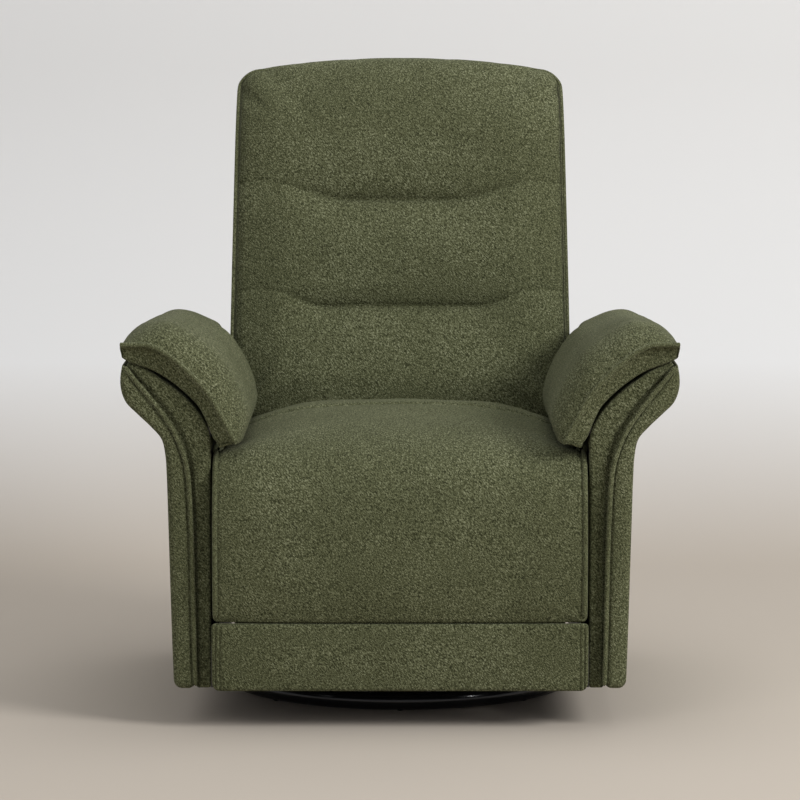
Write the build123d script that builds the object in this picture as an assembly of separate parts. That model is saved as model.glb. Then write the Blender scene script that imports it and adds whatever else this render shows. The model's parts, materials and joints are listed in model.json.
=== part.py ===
from build123d import *
import os
from math import cos, radians, sin

# Swivel glider recliner. Millimetres and degrees, X to the right, the front towards -Y, Z up.
# The origin lies on the floor under the swivel axis. Left and right are as seen from the front.

# ---------------------------------------------------------------- base and swivel
ring_radius = 290.0  # centre line of the floor ring
ring_tube = 25.0
ring_flats = 16  # the tube's round section is drawn with this many sides
glide_height = 8.0
glide_radius = 13.0
glide_count = 8
spoke_width = 32.0
spoke_height = 18.0
tube_wall = 2.0
hub_radius = 104.0
hub_plate = 4.0
race_plate = 3.0
race_rim_height = 9.0
slide_ring_height = 5.0
slide_ring_inner = 55.0
swivel_bolt_radius = 8.0
swivel_bolt_head = 14.0
turning_gap = 0.3  # between pieces that turn on each other

# ---------------------------------------------------------------- glider
turntable_plate = 5.0
turntable_half_width = 150.0
glide_pivot_spread = 220.0  # front to rear pivot of the hanging links
glide_pivot_height = 240.0
glide_link_length = 120.0
glide_link_half_width = 13.0
carriage_web_height = 58.0
carriage_flange = 30.0
cross_rail_width = 40.0
cross_rail_height = 22.0
cross_rail_bottom = 60.0
cross_rail_spread = 500.0

# ---------------------------------------------------------------- plates and pins of the mechanism
plate = 4.0
plate_gap = 2.0
pin_radius = 5.0
running_clearance = 0.05
pin_end = 1.0  # how far a pin stands out of the plate that it runs in
boss_radius = 12.0
link_half_width = 10.0

# ---------------------------------------------------------------- recline linkage
swing_pivot_height = 330.0
swing_pivot_spread = 150.0
swing_link_length = 60.0
swing_lean = 15.0  # lean of the hanging links when the seat is upright
back_pivot_y = 130.0
back_pivot_z = 340.0
crank_arm = 45.0
crank_angle = -35.0
mechanism_plate_bottom_height = 40.0

# ---------------------------------------------------------------- footrest linkage, folded
drive_pivot_y = -235.0
drive_pivot_z = 322.0
drive_tube_radius = 10.0
drive_link_y = 125.0  # drive pivot to the knee of the arm
drive_link_z = -175.0
rear_pivot_y = 80.0  # drive pivot to the rear link's pivot
rear_pivot_z = -10.0
footrest_arm_y = -245.0  # knee to the footrest
footrest_arm_z = 140.0
arm_bow_y = -55.0  # the arm bows up here to pass over the front panel
arm_bow_z = 52.0
stay_offset_y = -14.0
stay_offset_z = 62.0

# ---------------------------------------------------------------- seat
seat_half_width = 297.0
seat_rail_front = -325.0
seat_rail_rear = 118.0
seat_rail_top = 341.0
seat_rail_height = 36.0
seat_flange = 37.0
seat_frame_side_gap = 9.0  # to the innermost links of the footrest
seat_frame_rail = 26.0
seat_frame_height = 22.0
seat_frame_front = -380.0
seat_frame_rear = 110.0
webbing = 2.5
strap_width = 60.0
strap_pitch = 108.0
seat_crown = 476.0
seat_edge_height = 425.0
seat_cushion_front = -455.0
seat_cushion_rear = 96.0
seat_skirt_front = -385.0
nose_bottom = 405.0
nose_roll = 138.0  # length of the rounded front of the seat
rear_roll = 37.0

# ---------------------------------------------------------------- footrest
footrest_board_front = -410.0
footrest_board = 15.0
footrest_board_bottom = 195.0
footrest_top = 400.0
footrest_bottom = 176.0
footrest_front = -470.0
footrest_corner = 32.0
footrest_toe = 20.0  # height of the small round at its lower front edge
footrest_bracket_height = 110.0

# ---------------------------------------------------------------- back
back_foot_y = 100.0
back_foot_z = 440.0
back_lean = 18.0
back_height = 668.0
back_foot_half_width = seat_half_width
back_taper = 11.0  # how much narrower each side is at the top
back_crown = 20.0
back_cushion_depth = 109.0
back_depth = 182.0
back_corner = 36.0
back_puff = 16.0
seam_depth = 14.0
lower_seam = 196.0
upper_seam = 395.0
post_width = 24.0
post_depth = 30.0
back_rail_height = 50.0
back_strap_pitch = 112.0
cover_wall = 4.5
cover_gap = 0.2
cover_flap = 45.0
cover_flap_side_gap = 19.0  # to the brackets of the back

# ---------------------------------------------------------------- arms
seat_side_gap = 3.0
arm_inner = seat_half_width + seat_side_gap  # upholstered inner face of each arm
arm_skin = 3.0
arm_frame = 16.0
arm_front = -440.0
arm_rear = 312.0
arm_bottom = 68.0
arm_foot_width = 66.0  # width of each arm at the bottom
arm_waist_width = 75.0
arm_tip_width = 149.0
arm_waist_height = 420.0
arm_tip_height = 584.0
arm_inner_top = 488.0
arm_skin_bottom = 357.0
pad_front = -452.0
pad_rear = 200.0
pad_crest = 642.0
pad_front_height = 606.0  # top of the flat front seam
pad_overhang = 62.0  # how far the pads roll in over the seat
pad_toe = 37.0  # width of the lower end of the roll
pad_shoulder = 100.0  # height of the roll above the arm's inner edge
pad_end_radius = 20.0
pad_lift = 21.0  # lower end of the pads above the sides of the seat, which rises as it tilts
pad_tip_height = 614.0
pad_gap = 0.5
pad_room = 8.0  # between the pads and the face of the back

# ---------------------------------------------------------------- closing panels
panel_half_width = seat_half_width
panel_top = 171.0
panel_bottom = 64.0
panel_thickness = 17.0
panel_front = -462.0
panel_corner = 30.0
rail_thickness = 25.0
front_rail_height = 65.0
apron = 8.0  # board behind the front rail that closes the gap under the footrest
apron_top = 172.0
rear_rail_top = 302.0
rear_skirt = 12.0
rear_skirt_rise = 12.0  # the skirt's top edge above the rail

# ---------------------------------------------------------------- release handle, in the left arm
cup_y = -180.0
cup_z = 330.0
cup_width = 90.0
cup_height = 70.0
cup_depth = 28.0
cup_wall = 2.5
cup_flange = 8.0
paddle_height = 42.0
paddle_thickness = 4.0
paddle_gap = 3.5
paddle_pin = 2.5


# ---------------------------------------------------------------- helpers
def add(point, step):
    return (point[0] + step[0], point[1] + step[1])


def box(x, y, z):
    """Box between two limits along each axis."""
    middle = ((x[0] + x[1]) / 2, (y[0] + y[1]) / 2, (z[0] + z[1]) / 2)
    return Pos(*middle) * Box(x[1] - x[0], y[1] - y[0], z[1] - z[0])


def disc(point, radius):
    return Pos(*point) * Circle(radius)


def strap(*discs):
    """Outline drawn tight round discs, each given as (point, radius)."""
    return make_hull([edge for point, radius in discs for edge in disc(point, radius).edges()])


def side_plate(outline, span):
    """Plate that stands along Y, between two distances from the middle of the chair."""
    return extrude(Plane.YZ.offset(span[0]) * outline, span[1] - span[0])


def front_view(outline, ys):
    """Solid with this outline from the front, between two places along Y."""
    return extrude(Plane.XZ.offset(-ys[1]) * outline, ys[1] - ys[0])


def plan_view(outline, zs):
    """Solid with this outline from above, between two heights."""
    return extrude(Plane.XY.offset(zs[0]) * outline, zs[1] - zs[0])


def along_y(x, z, radius, ys):
    return front_view(disc((x, z), radius), ys)


def shrink(limits, by):
    return (limits[0] + by, limits[1] - by)


def drilled(outline, fixed=(), running=()):
    """Outline with a tight hole at each fixed point and a running one at the others."""
    for point in fixed:
        outline -= disc(point, pin_radius)
    for point in running:
        outline -= disc(point, pin_radius + running_clearance)
    return outline


def pivot_pin(point, held_in, runs_in):
    """Pin held in one plate that runs right through the next."""
    if runs_in[0] > held_in[0]:
        return side_plate(disc(point, pin_radius), (held_in[0], runs_in[1] + pin_end))
    return side_plate(disc(point, pin_radius), (runs_in[0] - pin_end, held_in[1]))


def pair(solid):
    """The same piece on the right and on the left."""
    return [solid, mirror(solid, about=Plane.YZ)]


def write(name, *solids):
    shape = solids[0] if len(solids) == 1 else Compound(children=list(solids))
    export_step(shape, f"parts/{name}.step")


def write_sides(name, solid):
    right, left = pair(solid)
    write(f"{name}_right", right)
    write(f"{name}_left", left)


def flat_outline(*edges):
    return make_face(edges)


def bowed_box(half, flat_half, front, edge, rear):
    """Plan outline, flat in front, that curves back to its two side edges."""
    rear_x = (flat_half + 0.75 * (half - flat_half), front + 0.3 * (edge - front))
    edges = [
        Line((-flat_half, front), (flat_half, front)),
        ThreePointArc((flat_half, front), rear_x, (half, edge)),
        Line((half, edge), (half, rear)),
        Line((half, rear), (-half, rear)),
        Line((-half, rear), (-half, edge)),
        ThreePointArc((-half, edge), (-rear_x[0], rear_x[1]), (-flat_half, front)),
    ]
    return flat_outline(*edges)


# ---------------------------------------------------------------- places worked out from the sizes
arm_foot = arm_inner + arm_foot_width
arm_waist = arm_inner + arm_waist_width
arm_tip = arm_inner + arm_tip_width
pad_inner = arm_inner - pad_overhang

ring_centre = glide_height + ring_tube / 2
spoke_top = ring_centre + spoke_height / 2
race_bottom = spoke_top + hub_plate
slide_ring_bottom = race_bottom + race_plate
upper_race_bottom = slide_ring_bottom + slide_ring_height + turning_gap
turntable_bottom = upper_race_bottom + race_plate
turntable_top = turntable_bottom + turntable_plate

upright_span = (turntable_half_width, turntable_half_width + turntable_plate)
glide_span = (upright_span[1] + plate_gap, upright_span[1] + plate_gap + plate)
carriage_span = (glide_span[1] + plate_gap, glide_span[1] + plate_gap + plate)
glide_tops = [(y, glide_pivot_height) for y in (-glide_pivot_spread / 2, glide_pivot_spread / 2)]
glide_feet = [(y, z - glide_link_length) for y, z in glide_tops]
cross_rail_top = cross_rail_bottom + cross_rail_height
chassis_length = cross_rail_spread + cross_rail_width

frame_face = arm_inner + arm_skin  # inner face of the arm frames, where the mechanism is bolted


def layer(number):
    """Plates of the mechanism lie side by side, layer 0 against the arm frame."""
    outer = frame_face - number * (plate + plate_gap)
    return (outer - plate, outer)


base_layer, swing_layer, rail_layer, drive_layer, arm_layer = (layer(n) for n in range(5))

swing_top_rear = (0.0, swing_pivot_height)
swing_top_front = (-swing_pivot_spread, swing_pivot_height)
swing_step = (swing_link_length * sin(radians(swing_lean)), -swing_link_length * cos(radians(swing_lean)))
swing_foot_rear = add(swing_top_rear, swing_step)
swing_foot_front = add(swing_top_front, swing_step)
crank_step = (crank_arm * cos(radians(crank_angle)), crank_arm * sin(radians(crank_angle)))
crank_end = add(swing_foot_rear, crank_step)
back_pivot = (back_pivot_y, back_pivot_z)
back_tail = add(back_pivot, crank_step)

drive_pivot = (drive_pivot_y, drive_pivot_z)
rear_step = (rear_pivot_y, rear_pivot_z)
rear_pivot = add(drive_pivot, rear_step)
knee = add(drive_pivot, (drive_link_y, drive_link_z))
arm_rear_end = add(knee, rear_step)
arm_step = (footrest_arm_y, footrest_arm_z)
arm_front_end = add(knee, arm_step)
stay_rear_end = add(knee, (stay_offset_y, stay_offset_z))
stay_front_end = add(stay_rear_end, arm_step)

seat_frame_bottom = seat_rail_top
seat_frame_top = seat_frame_bottom + seat_frame_height
cushion_bottom = seat_frame_top + webbing
seat_frame_half_width = arm_layer[0] - seat_frame_side_gap
pad_end_height = seat_edge_height + pad_lift
back_top_half_width = back_foot_half_width - back_taper
back_shoulder = back_height - back_crown
back_frame_top = back_shoulder - back_corner
footrest_board_rear = footrest_board_front + footrest_board
front_rail_front = panel_front + panel_thickness
frame_rear = arm_rear - rear_skirt
lean = Pos(0, back_foot_y, back_foot_z) * Rot(X=-back_lean)


def on_back(depth, height):
    """Point (y, z) that lies so deep behind the back's face and so high along it."""
    a = radians(back_lean)
    return (
        back_foot_y + depth * cos(a) + height * sin(a),
        back_foot_z - depth * sin(a) + height * cos(a),
    )


# ---------------------------------------------------------------- base
def base_ring():
    section = Plane.XZ * Pos(ring_radius, ring_centre) * RegularPolygon(
        ring_tube / 2, ring_flats, major_radius=False, rotation=180 / ring_flats
    )
    return revolve(section, Axis.Z)


def base_cross_bars():
    """Four square tubes coped to the ring, a centre sleeve and the plate that carries the bearing."""
    tube = box((0, ring_radius), (-spoke_width / 2, spoke_width / 2), (ring_centre - spoke_height / 2, spoke_top))
    hollow_width = spoke_width / 2 - tube_wall
    hollow = box(
        (spoke_width, ring_radius),
        (-hollow_width, hollow_width),
        (ring_centre - spoke_height / 2 + tube_wall, spoke_top - tube_wall),
    )
    spoke = tube - hollow - base_ring()
    spokes = spoke
    for turn in range(1, 4):
        spokes += Rot(Z=90 * turn) * spoke
    hub = Pos(0, 0, spoke_top + hub_plate / 2) * Cylinder(hub_radius, hub_plate)
    bore = Pos(0, 0, ring_centre) * Cylinder(swivel_bolt_radius + running_clearance, 4 * spoke_height)
    return spokes + hub - bore


def base_glides():
    glide = Pos(0, -ring_radius, glide_height / 2) * Cylinder(glide_radius, glide_height)
    return [Rot(Z=turn * 360 / glide_count) * glide for turn in range(glide_count)]


def lower_race():
    plate_ring = Pos(0, 0, race_bottom + race_plate / 2) * Cylinder(hub_radius, race_plate)
    rim = Pos(0, 0, race_bottom + race_rim_height / 2) * (
        Cylinder(hub_radius, race_rim_height) - Cylinder(hub_radius - race_plate, race_rim_height)
    )
    return plate_ring + rim - Cylinder(slide_ring_inner, 4 * race_bottom)


def slide_ring():
    outer = hub_radius - race_plate - 2 * turning_gap
    ring = Cylinder(outer, slide_ring_height) - Cylinder(slide_ring_inner, slide_ring_height)
    return Pos(0, 0, slide_ring_bottom + slide_ring_height / 2) * ring


# ---------------------------------------------------------------- turntable and glider
def upper_race():
    outer = hub_radius - race_plate - 2 * turning_gap
    ring = Cylinder(outer, race_plate) - Cylinder(swivel_bolt_radius, race_plate)
    return Pos(0, 0, upper_race_bottom + race_plate / 2) * ring


def swivel_bolt():
    bottom = ring_centre - spoke_height / 2 - turning_gap
    nut_height = bottom - glide_height / 2
    shank = Pos(0, 0, (bottom + turntable_top) / 2) * Cylinder(swivel_bolt_radius, turntable_top - bottom)
    head = extrude(Pos(0, 0, turntable_top) * RegularPolygon(swivel_bolt_head, 6), nut_height)
    nut = extrude(Pos(0, 0, glide_height / 2) * RegularPolygon(swivel_bolt_head, 6), nut_height)
    return shank + head + nut


def upright_outline():
    """Tapered side plate between the turntable and the two upper pivots."""
    foot = glide_pivot_spread / 2 + boss_radius
    corners = [((y, turntable_bottom + boss_radius), boss_radius) for y in (-foot, foot)]
    outline = strap(*[(top, boss_radius) for top in glide_tops], *corners)
    return drilled(outline, fixed=glide_tops)


def glider_plate():
    half = glide_pivot_spread / 2 + boss_radius
    width = (-turntable_half_width, turntable_half_width)
    panel = box(width, (-half, half), (turntable_bottom, turntable_top))
    return panel - Cylinder(swivel_bolt_radius, 4 * turntable_top)


def glide_links(end):
    top, foot = glide_tops[end], glide_feet[end]
    outline = drilled(strap((top, glide_link_half_width), (foot, glide_link_half_width)), running=[top, foot])
    return pair(side_plate(outline, glide_span))


def carriage_rail():
    """Angle rail: the web carries the glider's lower pivots, the flange lies on the cross rails."""
    half = (-chassis_length / 2, chassis_length / 2)
    web_top = cross_rail_top + carriage_web_height
    web = Rectangle(chassis_length, carriage_web_height)
    web = drilled(Pos(0, web_top - carriage_web_height / 2) * web, fixed=glide_feet)
    flange_span = (carriage_span[0], carriage_span[1] + carriage_flange)
    return side_plate(web, carriage_span) + box(flange_span, half, (cross_rail_top, cross_rail_top + plate))


def cross_rail(side):
    """Rectangular tube from one mechanism to the other."""
    middle = side * cross_rail_spread / 2
    half = cross_rail_width / 2
    outer = box(
        (-base_layer[0], base_layer[0]), (middle - half, middle + half), (cross_rail_bottom, cross_rail_top)
    )
    inner = box(
        (-base_layer[0], base_layer[0]),
        (middle - half + tube_wall, middle + half - tube_wall),
        (cross_rail_bottom + tube_wall, cross_rail_top - tube_wall),
    )
    return outer - inner


# ---------------------------------------------------------------- recline mechanism
def mechanism_base():
    """Upright plate bolted to the arm frame, from the cross rails up to the swing pivots."""
    half = chassis_length / 2
    foot_z = cross_rail_bottom + boss_radius
    top_z = cross_rail_bottom + mechanism_plate_bottom_height - boss_radius
    feet = [((y, z), boss_radius) for y in (-half + boss_radius, half - boss_radius) for z in (foot_z, top_z)]
    tops = [swing_top_front, swing_top_rear]
    outline = strap(*[(top, boss_radius + plate) for top in tops], *feet)
    return side_plate(drilled(outline, fixed=tops), base_layer)


def front_swing_link():
    points = [swing_top_front, swing_foot_front]
    return side_plate(drilled(strap(*[(p, boss_radius) for p in points]), running=points), swing_layer)


def bell_crank():
    """Rear hanging link with a toe that drives the back."""
    points = [swing_top_rear, swing_foot_rear, crank_end]
    return side_plate(drilled(strap(*[(p, boss_radius) for p in points]), running=points), swing_layer)


def drag_link():
    points = [crank_end, back_tail]
    return side_plate(drilled(strap(*[(p, link_half_width) for p in points]), fixed=points), rail_layer)


def seat_rail():
    """Side plate of the seat with a lobe down to each swing pivot and an inward flange on top."""
    bar_bottom = seat_rail_top - seat_rail_height
    length = seat_rail_rear - seat_rail_front
    bar = Pos((seat_rail_front + seat_rail_rear) / 2, (bar_bottom + seat_rail_top) / 2) * Rectangle(
        length, seat_rail_height
    )
    inside = seat_rail_top - boss_radius - plate
    for foot in (swing_foot_rear, swing_foot_front):
        bar += strap((foot, boss_radius), ((foot[0], inside), boss_radius + plate))
    bar += strap((back_pivot, boss_radius), ((seat_rail_rear - seat_rail_height, inside), boss_radius))
    bar -= disc(drive_pivot, drive_tube_radius + running_clearance)
    pins = [swing_foot_rear, swing_foot_front, back_pivot, rear_pivot]
    web = side_plate(drilled(bar, fixed=pins), rail_layer)
    flange_span = (rail_layer[0] - seat_flange, rail_layer[0])
    return web + box(flange_span, (seat_rail_front, seat_rail_rear), (seat_rail_top - plate, seat_rail_top))


def back_bracket():
    """Arm of the back, from its pivot and tail up to the post."""
    post_middle = back_cushion_depth + webbing + post_depth / 2
    low, high = on_back(post_middle, -2 * boss_radius), on_back(post_middle, 4 * back_rail_height)
    points = strap((back_pivot, boss_radius), (back_tail, boss_radius), (low, boss_radius))
    points += strap((low, boss_radius), (high, boss_radius))
    return side_plate(drilled(points, running=[back_pivot, back_tail]), drive_layer)


# ---------------------------------------------------------------- footrest linkage
def drive_link():
    outline = strap((drive_pivot, drive_tube_radius + plate), (knee, link_half_width), (stay_rear_end, link_half_width))
    outline = drilled(outline, running=[knee, stay_rear_end]) - disc(drive_pivot, drive_tube_radius)
    return side_plate(outline, drive_layer)


def drive_tube():
    """Tube that turns both drive links together and runs in the seat rails."""
    end = rail_layer[1] + plate_gap / 2
    face = disc(drive_pivot, drive_tube_radius) - disc(drive_pivot, drive_tube_radius - tube_wall)
    return side_plate(face, (-end, end))


def rear_link():
    points = [rear_pivot, arm_rear_end]
    outline = strap(*[(p, link_half_width) for p in points])
    return side_plate(drilled(outline, running=points), drive_layer)


def footrest_arm():
    outline = strap((arm_rear_end, link_half_width), (knee, link_half_width))
    bow = add(knee, (arm_bow_y, arm_bow_z))
    outline += strap((knee, link_half_width), (bow, link_half_width))
    outline += strap((bow, link_half_width), (arm_front_end, link_half_width))
    return side_plate(drilled(outline, fixed=[arm_rear_end, knee, arm_front_end]), arm_layer)


def stay():
    points = [stay_rear_end, stay_front_end]
    outline = strap(*[(p, link_half_width) for p in points])
    return side_plate(drilled(outline, fixed=points), arm_layer)


def footrest_bracket():
    """Angle bracket: a cheek with two pivots and a flange screwed to the board."""
    low = stay_front_end[1] + boss_radius - footrest_bracket_height
    high = stay_front_end[1] + boss_radius
    edge = box(drive_layer, (footrest_board_rear, footrest_board_rear + plate), (low, high))
    cheek = strap(
        (arm_front_end, boss_radius),
        (stay_front_end, boss_radius),
        ((footrest_board_rear + boss_radius, high - boss_radius), boss_radius),
        ((footrest_board_rear + boss_radius, low + boss_radius), boss_radius),
    )
    cheek = side_plate(drilled(cheek, running=[arm_front_end, stay_front_end]), drive_layer)
    flange_span = (drive_layer[1] - footrest_bracket_height / 3, drive_layer[1])
    flange = box(flange_span, (footrest_board_rear, footrest_board_rear + plate), (low, high))
    return cheek + edge + flange


# ---------------------------------------------------------------- seat
def seat_frame():
    """Wooden rectangle with one cross rail."""
    half = (-seat_frame_half_width, seat_frame_half_width)
    height = (seat_frame_bottom, seat_frame_top)
    inner = seat_frame_half_width - seat_frame_rail
    frame = box(half, (seat_frame_front, seat_frame_rear), height)
    frame -= box((-inner, inner), (seat_frame_front + seat_frame_rail, seat_frame_rear - seat_frame_rail), height)
    middle = (seat_frame_front + seat_frame_rear) / 2
    cross = box((-inner, inner), (middle - seat_frame_rail / 2, middle + seat_frame_rail / 2), height)
    return frame + cross


def strap_places(low, high, pitch):
    """Middles of straps spread evenly at about this pitch, with half a pitch left at each end."""
    count = max(1, round((high - low) / pitch))
    return [low + (n + 0.5) * (high - low) / count for n in range(count)]


def seat_webbing():
    height = (seat_frame_top, seat_frame_top + webbing)
    across = (-seat_frame_half_width, seat_frame_half_width)
    along = (seat_frame_front, seat_frame_rear)
    straps = [
        box((x - strap_width / 2, x + strap_width / 2), along, height)
        for x in strap_places(*across, strap_pitch)
    ]
    straps += [
        box(across, (y - strap_width / 2, y + strap_width / 2), height)
        for y in strap_places(*along, strap_pitch)
    ]
    return straps[0].fuse(*straps[1:])


def seat_cushion():
    """Rolled nose and rear edge from the side, crowned top from the front."""
    rear, nose = seat_cushion_rear, seat_cushion_front
    top = seat_crown + webbing
    nose_middle = (nose + nose_roll / 3, nose_bottom + 0.62 * (top - nose_bottom))
    side = [
        Line((rear, cushion_bottom), (rear, top - rear_roll)),
        ThreePointArc((rear, top - rear_roll), (rear - rear_roll / 4, top - rear_roll / 3), (rear - rear_roll, top)),
        Line((rear - rear_roll, top), (nose + nose_roll, top)),
        ThreePointArc((nose + nose_roll, top), nose_middle, (nose, nose_bottom)),
        Line((nose, nose_bottom), (seat_skirt_front, nose_bottom)),
        Line((seat_skirt_front, nose_bottom), (seat_skirt_front, cushion_bottom)),
        Line((seat_skirt_front, cushion_bottom), (rear, cushion_bottom)),
    ]
    half = seat_half_width
    front = [
        ThreePointArc((-half, seat_edge_height), (0, seat_crown), (half, seat_edge_height)),
        Line((half, seat_edge_height), (half, cushion_bottom)),
        Line((half, cushion_bottom), (-half, cushion_bottom)),
        Line((-half, cushion_bottom), (-half, seat_edge_height)),
    ]
    crowned = front_view(flat_outline(*front), (nose, rear))
    return side_plate(flat_outline(*side), (-half, half)) & crowned


# ---------------------------------------------------------------- footrest
def footrest_board_panel():
    width = 2 * (seat_half_width - footrest_corner)
    height = footrest_top - footrest_board_bottom
    face = Pos(0, (footrest_top + footrest_board_bottom) / 2) * RectangleRounded(width, height, footrest_corner / 2)
    return extrude(Plane.XZ.offset(-footrest_board_rear) * face, footrest_board)


def footrest_pad():
    """Flat behind, bowed in front from the side and from above, round below."""
    rear, front, corner = footrest_board_front, footrest_front, footrest_corner
    low = footrest_bottom
    toe = (front + footrest_toe / 5, low + footrest_toe)
    side = [
        Line((rear, footrest_top), (rear, low + corner)),
        ThreePointArc((rear, low + corner), (rear - 0.3 * corner, low + 0.3 * corner), (rear - corner, low)),
        ThreePointArc((rear - corner, low), (toe[0] + footrest_toe / 4, low + footrest_toe / 4), toe),
        ThreePointArc(toe, (front, (footrest_top + low) / 2), (front + footrest_toe / 10, footrest_top)),
        Line((front + footrest_toe / 10, footrest_top), (rear, footrest_top)),
    ]
    plan = bowed_box(seat_half_width, seat_half_width - 2 * corner, front - webbing, front + corner / 2, rear)
    return side_plate(flat_outline(*side), (-seat_half_width, seat_half_width)) & plan_view(plan, (low, footrest_top))


# ---------------------------------------------------------------- back, modelled upright and then leant
def back_cushion():
    """Three puffs between sewn channels, with a round top and rounded sides."""
    rear = back_cushion_depth
    seam = back_puff + seam_depth
    top = (seam, back_height - back_puff)
    heights = [0, lower_seam, upper_seam, top[1]]
    side = [Line((rear, 0), (seam, 0))]
    for low, high in zip(heights, heights[1:]):
        side.append(ThreePointArc((seam, low), (0, (low + high) / 2), (seam, high)))
    side.append(ThreePointArc(top, (0.4 * rear, back_height - 4), (0.6 * rear, back_height)))
    side.append(Line((0.6 * rear, back_height), (rear, back_height)))
    side.append(Line((rear, back_height), (rear, 0)))
    half = back_foot_half_width
    body = side_plate(flat_outline(*side), (-half, half))
    body &= plan_view(bowed_box(half, half - 2 * back_corner, -webbing, seam, rear), (0, back_height))
    return lean * (body & back_block((-back_depth, back_depth)))


def back_block(depth):
    """Block with the front view of the back: narrower at the top, with a crowned edge and round corners."""
    foot, top = back_foot_half_width, back_top_half_width
    face = flat_outline(
        Line((-foot, 0), (foot, 0)),
        Line((foot, 0), (top, back_shoulder)),
        ThreePointArc((top, back_shoulder), (0, back_height), (-top, back_shoulder)),
        Line((-top, back_shoulder), (-foot, 0)),
    )
    face = fillet(face.vertices().filter_by(lambda corner: corner.Y > 0), back_corner)
    return front_view(face, depth)


def back_frame():
    """Two posts and three rails."""
    outer = drive_layer[0]
    front = back_cushion_depth + webbing
    depth = (front, front + post_depth)
    top = back_frame_top
    posts = pair(box((outer - post_width, outer), depth, (0, top)))
    inner = (-outer + post_width, outer - post_width)
    rails = [
        box(inner, depth, (z, z + back_rail_height))
        for z in (0, (top - back_rail_height) / 2, top - back_rail_height)
    ]
    return lean * posts[0].fuse(posts[1], *rails)


def back_webbing():
    outer = drive_layer[0]
    depth = (back_cushion_depth, back_cushion_depth + webbing)
    places = strap_places(0, back_frame_top, back_strap_pitch)
    return [lean * box((-outer, outer), depth, (z - strap_width / 2, z + strap_width / 2)) for z in places]


def back_cover():
    """Open-bottomed shell behind the frame, with a flap that hangs below it."""
    front = back_cushion_depth + cover_gap
    shell = back_block((front, back_depth))
    rear_edges = shell.edges().group_by(Axis.Y)[-1].sort_by(Axis.Z)[1:]
    shell = fillet(rear_edges, back_corner / 2)
    foot, top = back_foot_half_width - cover_wall, back_top_half_width - cover_wall
    hollow = Polygon((-foot, 0), (foot, 0), (top, back_frame_top), (-top, back_frame_top), align=None)
    shell -= front_view(hollow, (front, back_depth - cover_wall))
    rear = (back_depth - cover_wall, back_depth)
    flap_half = drive_layer[0] - cover_flap_side_gap
    flap = box((-flap_half, flap_half), rear, (-cover_flap, cover_wall))
    return lean * (shell + flap)


# ---------------------------------------------------------------- arms
arm_top_inner = (arm_inner, arm_inner_top)
arm_top_middle = (arm_waist, (arm_inner_top + arm_tip_height) / 2 + 12)
arm_top_tip = (arm_tip, arm_tip_height)


def arm_top(lift, inset):
    """Edges of the sloping top of the arm, from its inner face out to the tip."""
    start = (arm_top_inner[0] - inset, arm_top_inner[1] + lift)
    middle = (arm_top_middle[0], arm_top_middle[1] + lift)
    end = (arm_top_tip[0], arm_top_tip[1] + lift)
    first = ((start[0] + middle[0]) / 2 - 4, (start[1] + middle[1]) / 2 + 5)
    second = ((middle[0] + end[0]) / 2, (middle[1] + end[1]) / 2 - 2)
    return [ThreePointArc(start, first, middle), ThreePointArc(middle, second, end)]


def arm_cover():
    """Outer panel that flares out at the top, wrapped over the frame and down its inner face."""
    frame_outer = frame_face + arm_frame
    frame_top = arm_inner_top - arm_skin
    wing = arm_tip - arm_waist
    under_tip = (arm_tip - 0.13 * wing, arm_tip_height - 1.1 * wing)
    above_waist = (arm_waist + 0.12 * wing, arm_waist_height + 0.45 * wing)
    waist = (arm_waist, arm_waist_height)
    edges = [
        Line((arm_inner, arm_skin_bottom), arm_top_inner),
        *arm_top(0, 0),
        ThreePointArc(arm_top_tip, (arm_tip + 2, arm_tip_height - 0.6 * wing), under_tip),
        Line(under_tip, above_waist),
        ThreePointArc(above_waist, (arm_waist + 0.03 * wing, arm_waist_height + 0.24 * wing), waist),
        Line(waist, (arm_foot, arm_bottom)),
        Line((arm_foot, arm_bottom), (frame_outer, arm_bottom)),
        Line((frame_outer, arm_bottom), (frame_outer, frame_top)),
        Line((frame_outer, frame_top), (frame_face, frame_top)),
        Line((frame_face, frame_top), (frame_face, arm_skin_bottom)),
        Line((frame_face, arm_skin_bottom), (arm_inner, arm_skin_bottom)),
    ]
    return extrude(Plane.XZ.offset(-arm_rear) * flat_outline(*edges), arm_rear - arm_front)


def arm_frame_panel():
    """Plywood side with two round cut-outs."""
    front = arm_front + panel_thickness
    height = arm_inner_top - arm_skin - arm_bottom
    face = Pos((front + frame_rear) / 2, arm_bottom + height / 2) * Rectangle(frame_rear - front, height)
    for share in (0.2, 0.8):
        face -= disc((front + share * (frame_rear - front), arm_bottom + 0.7 * height), boss_radius * 4)
    return side_plate(face, (frame_face, frame_face + arm_frame))


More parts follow.
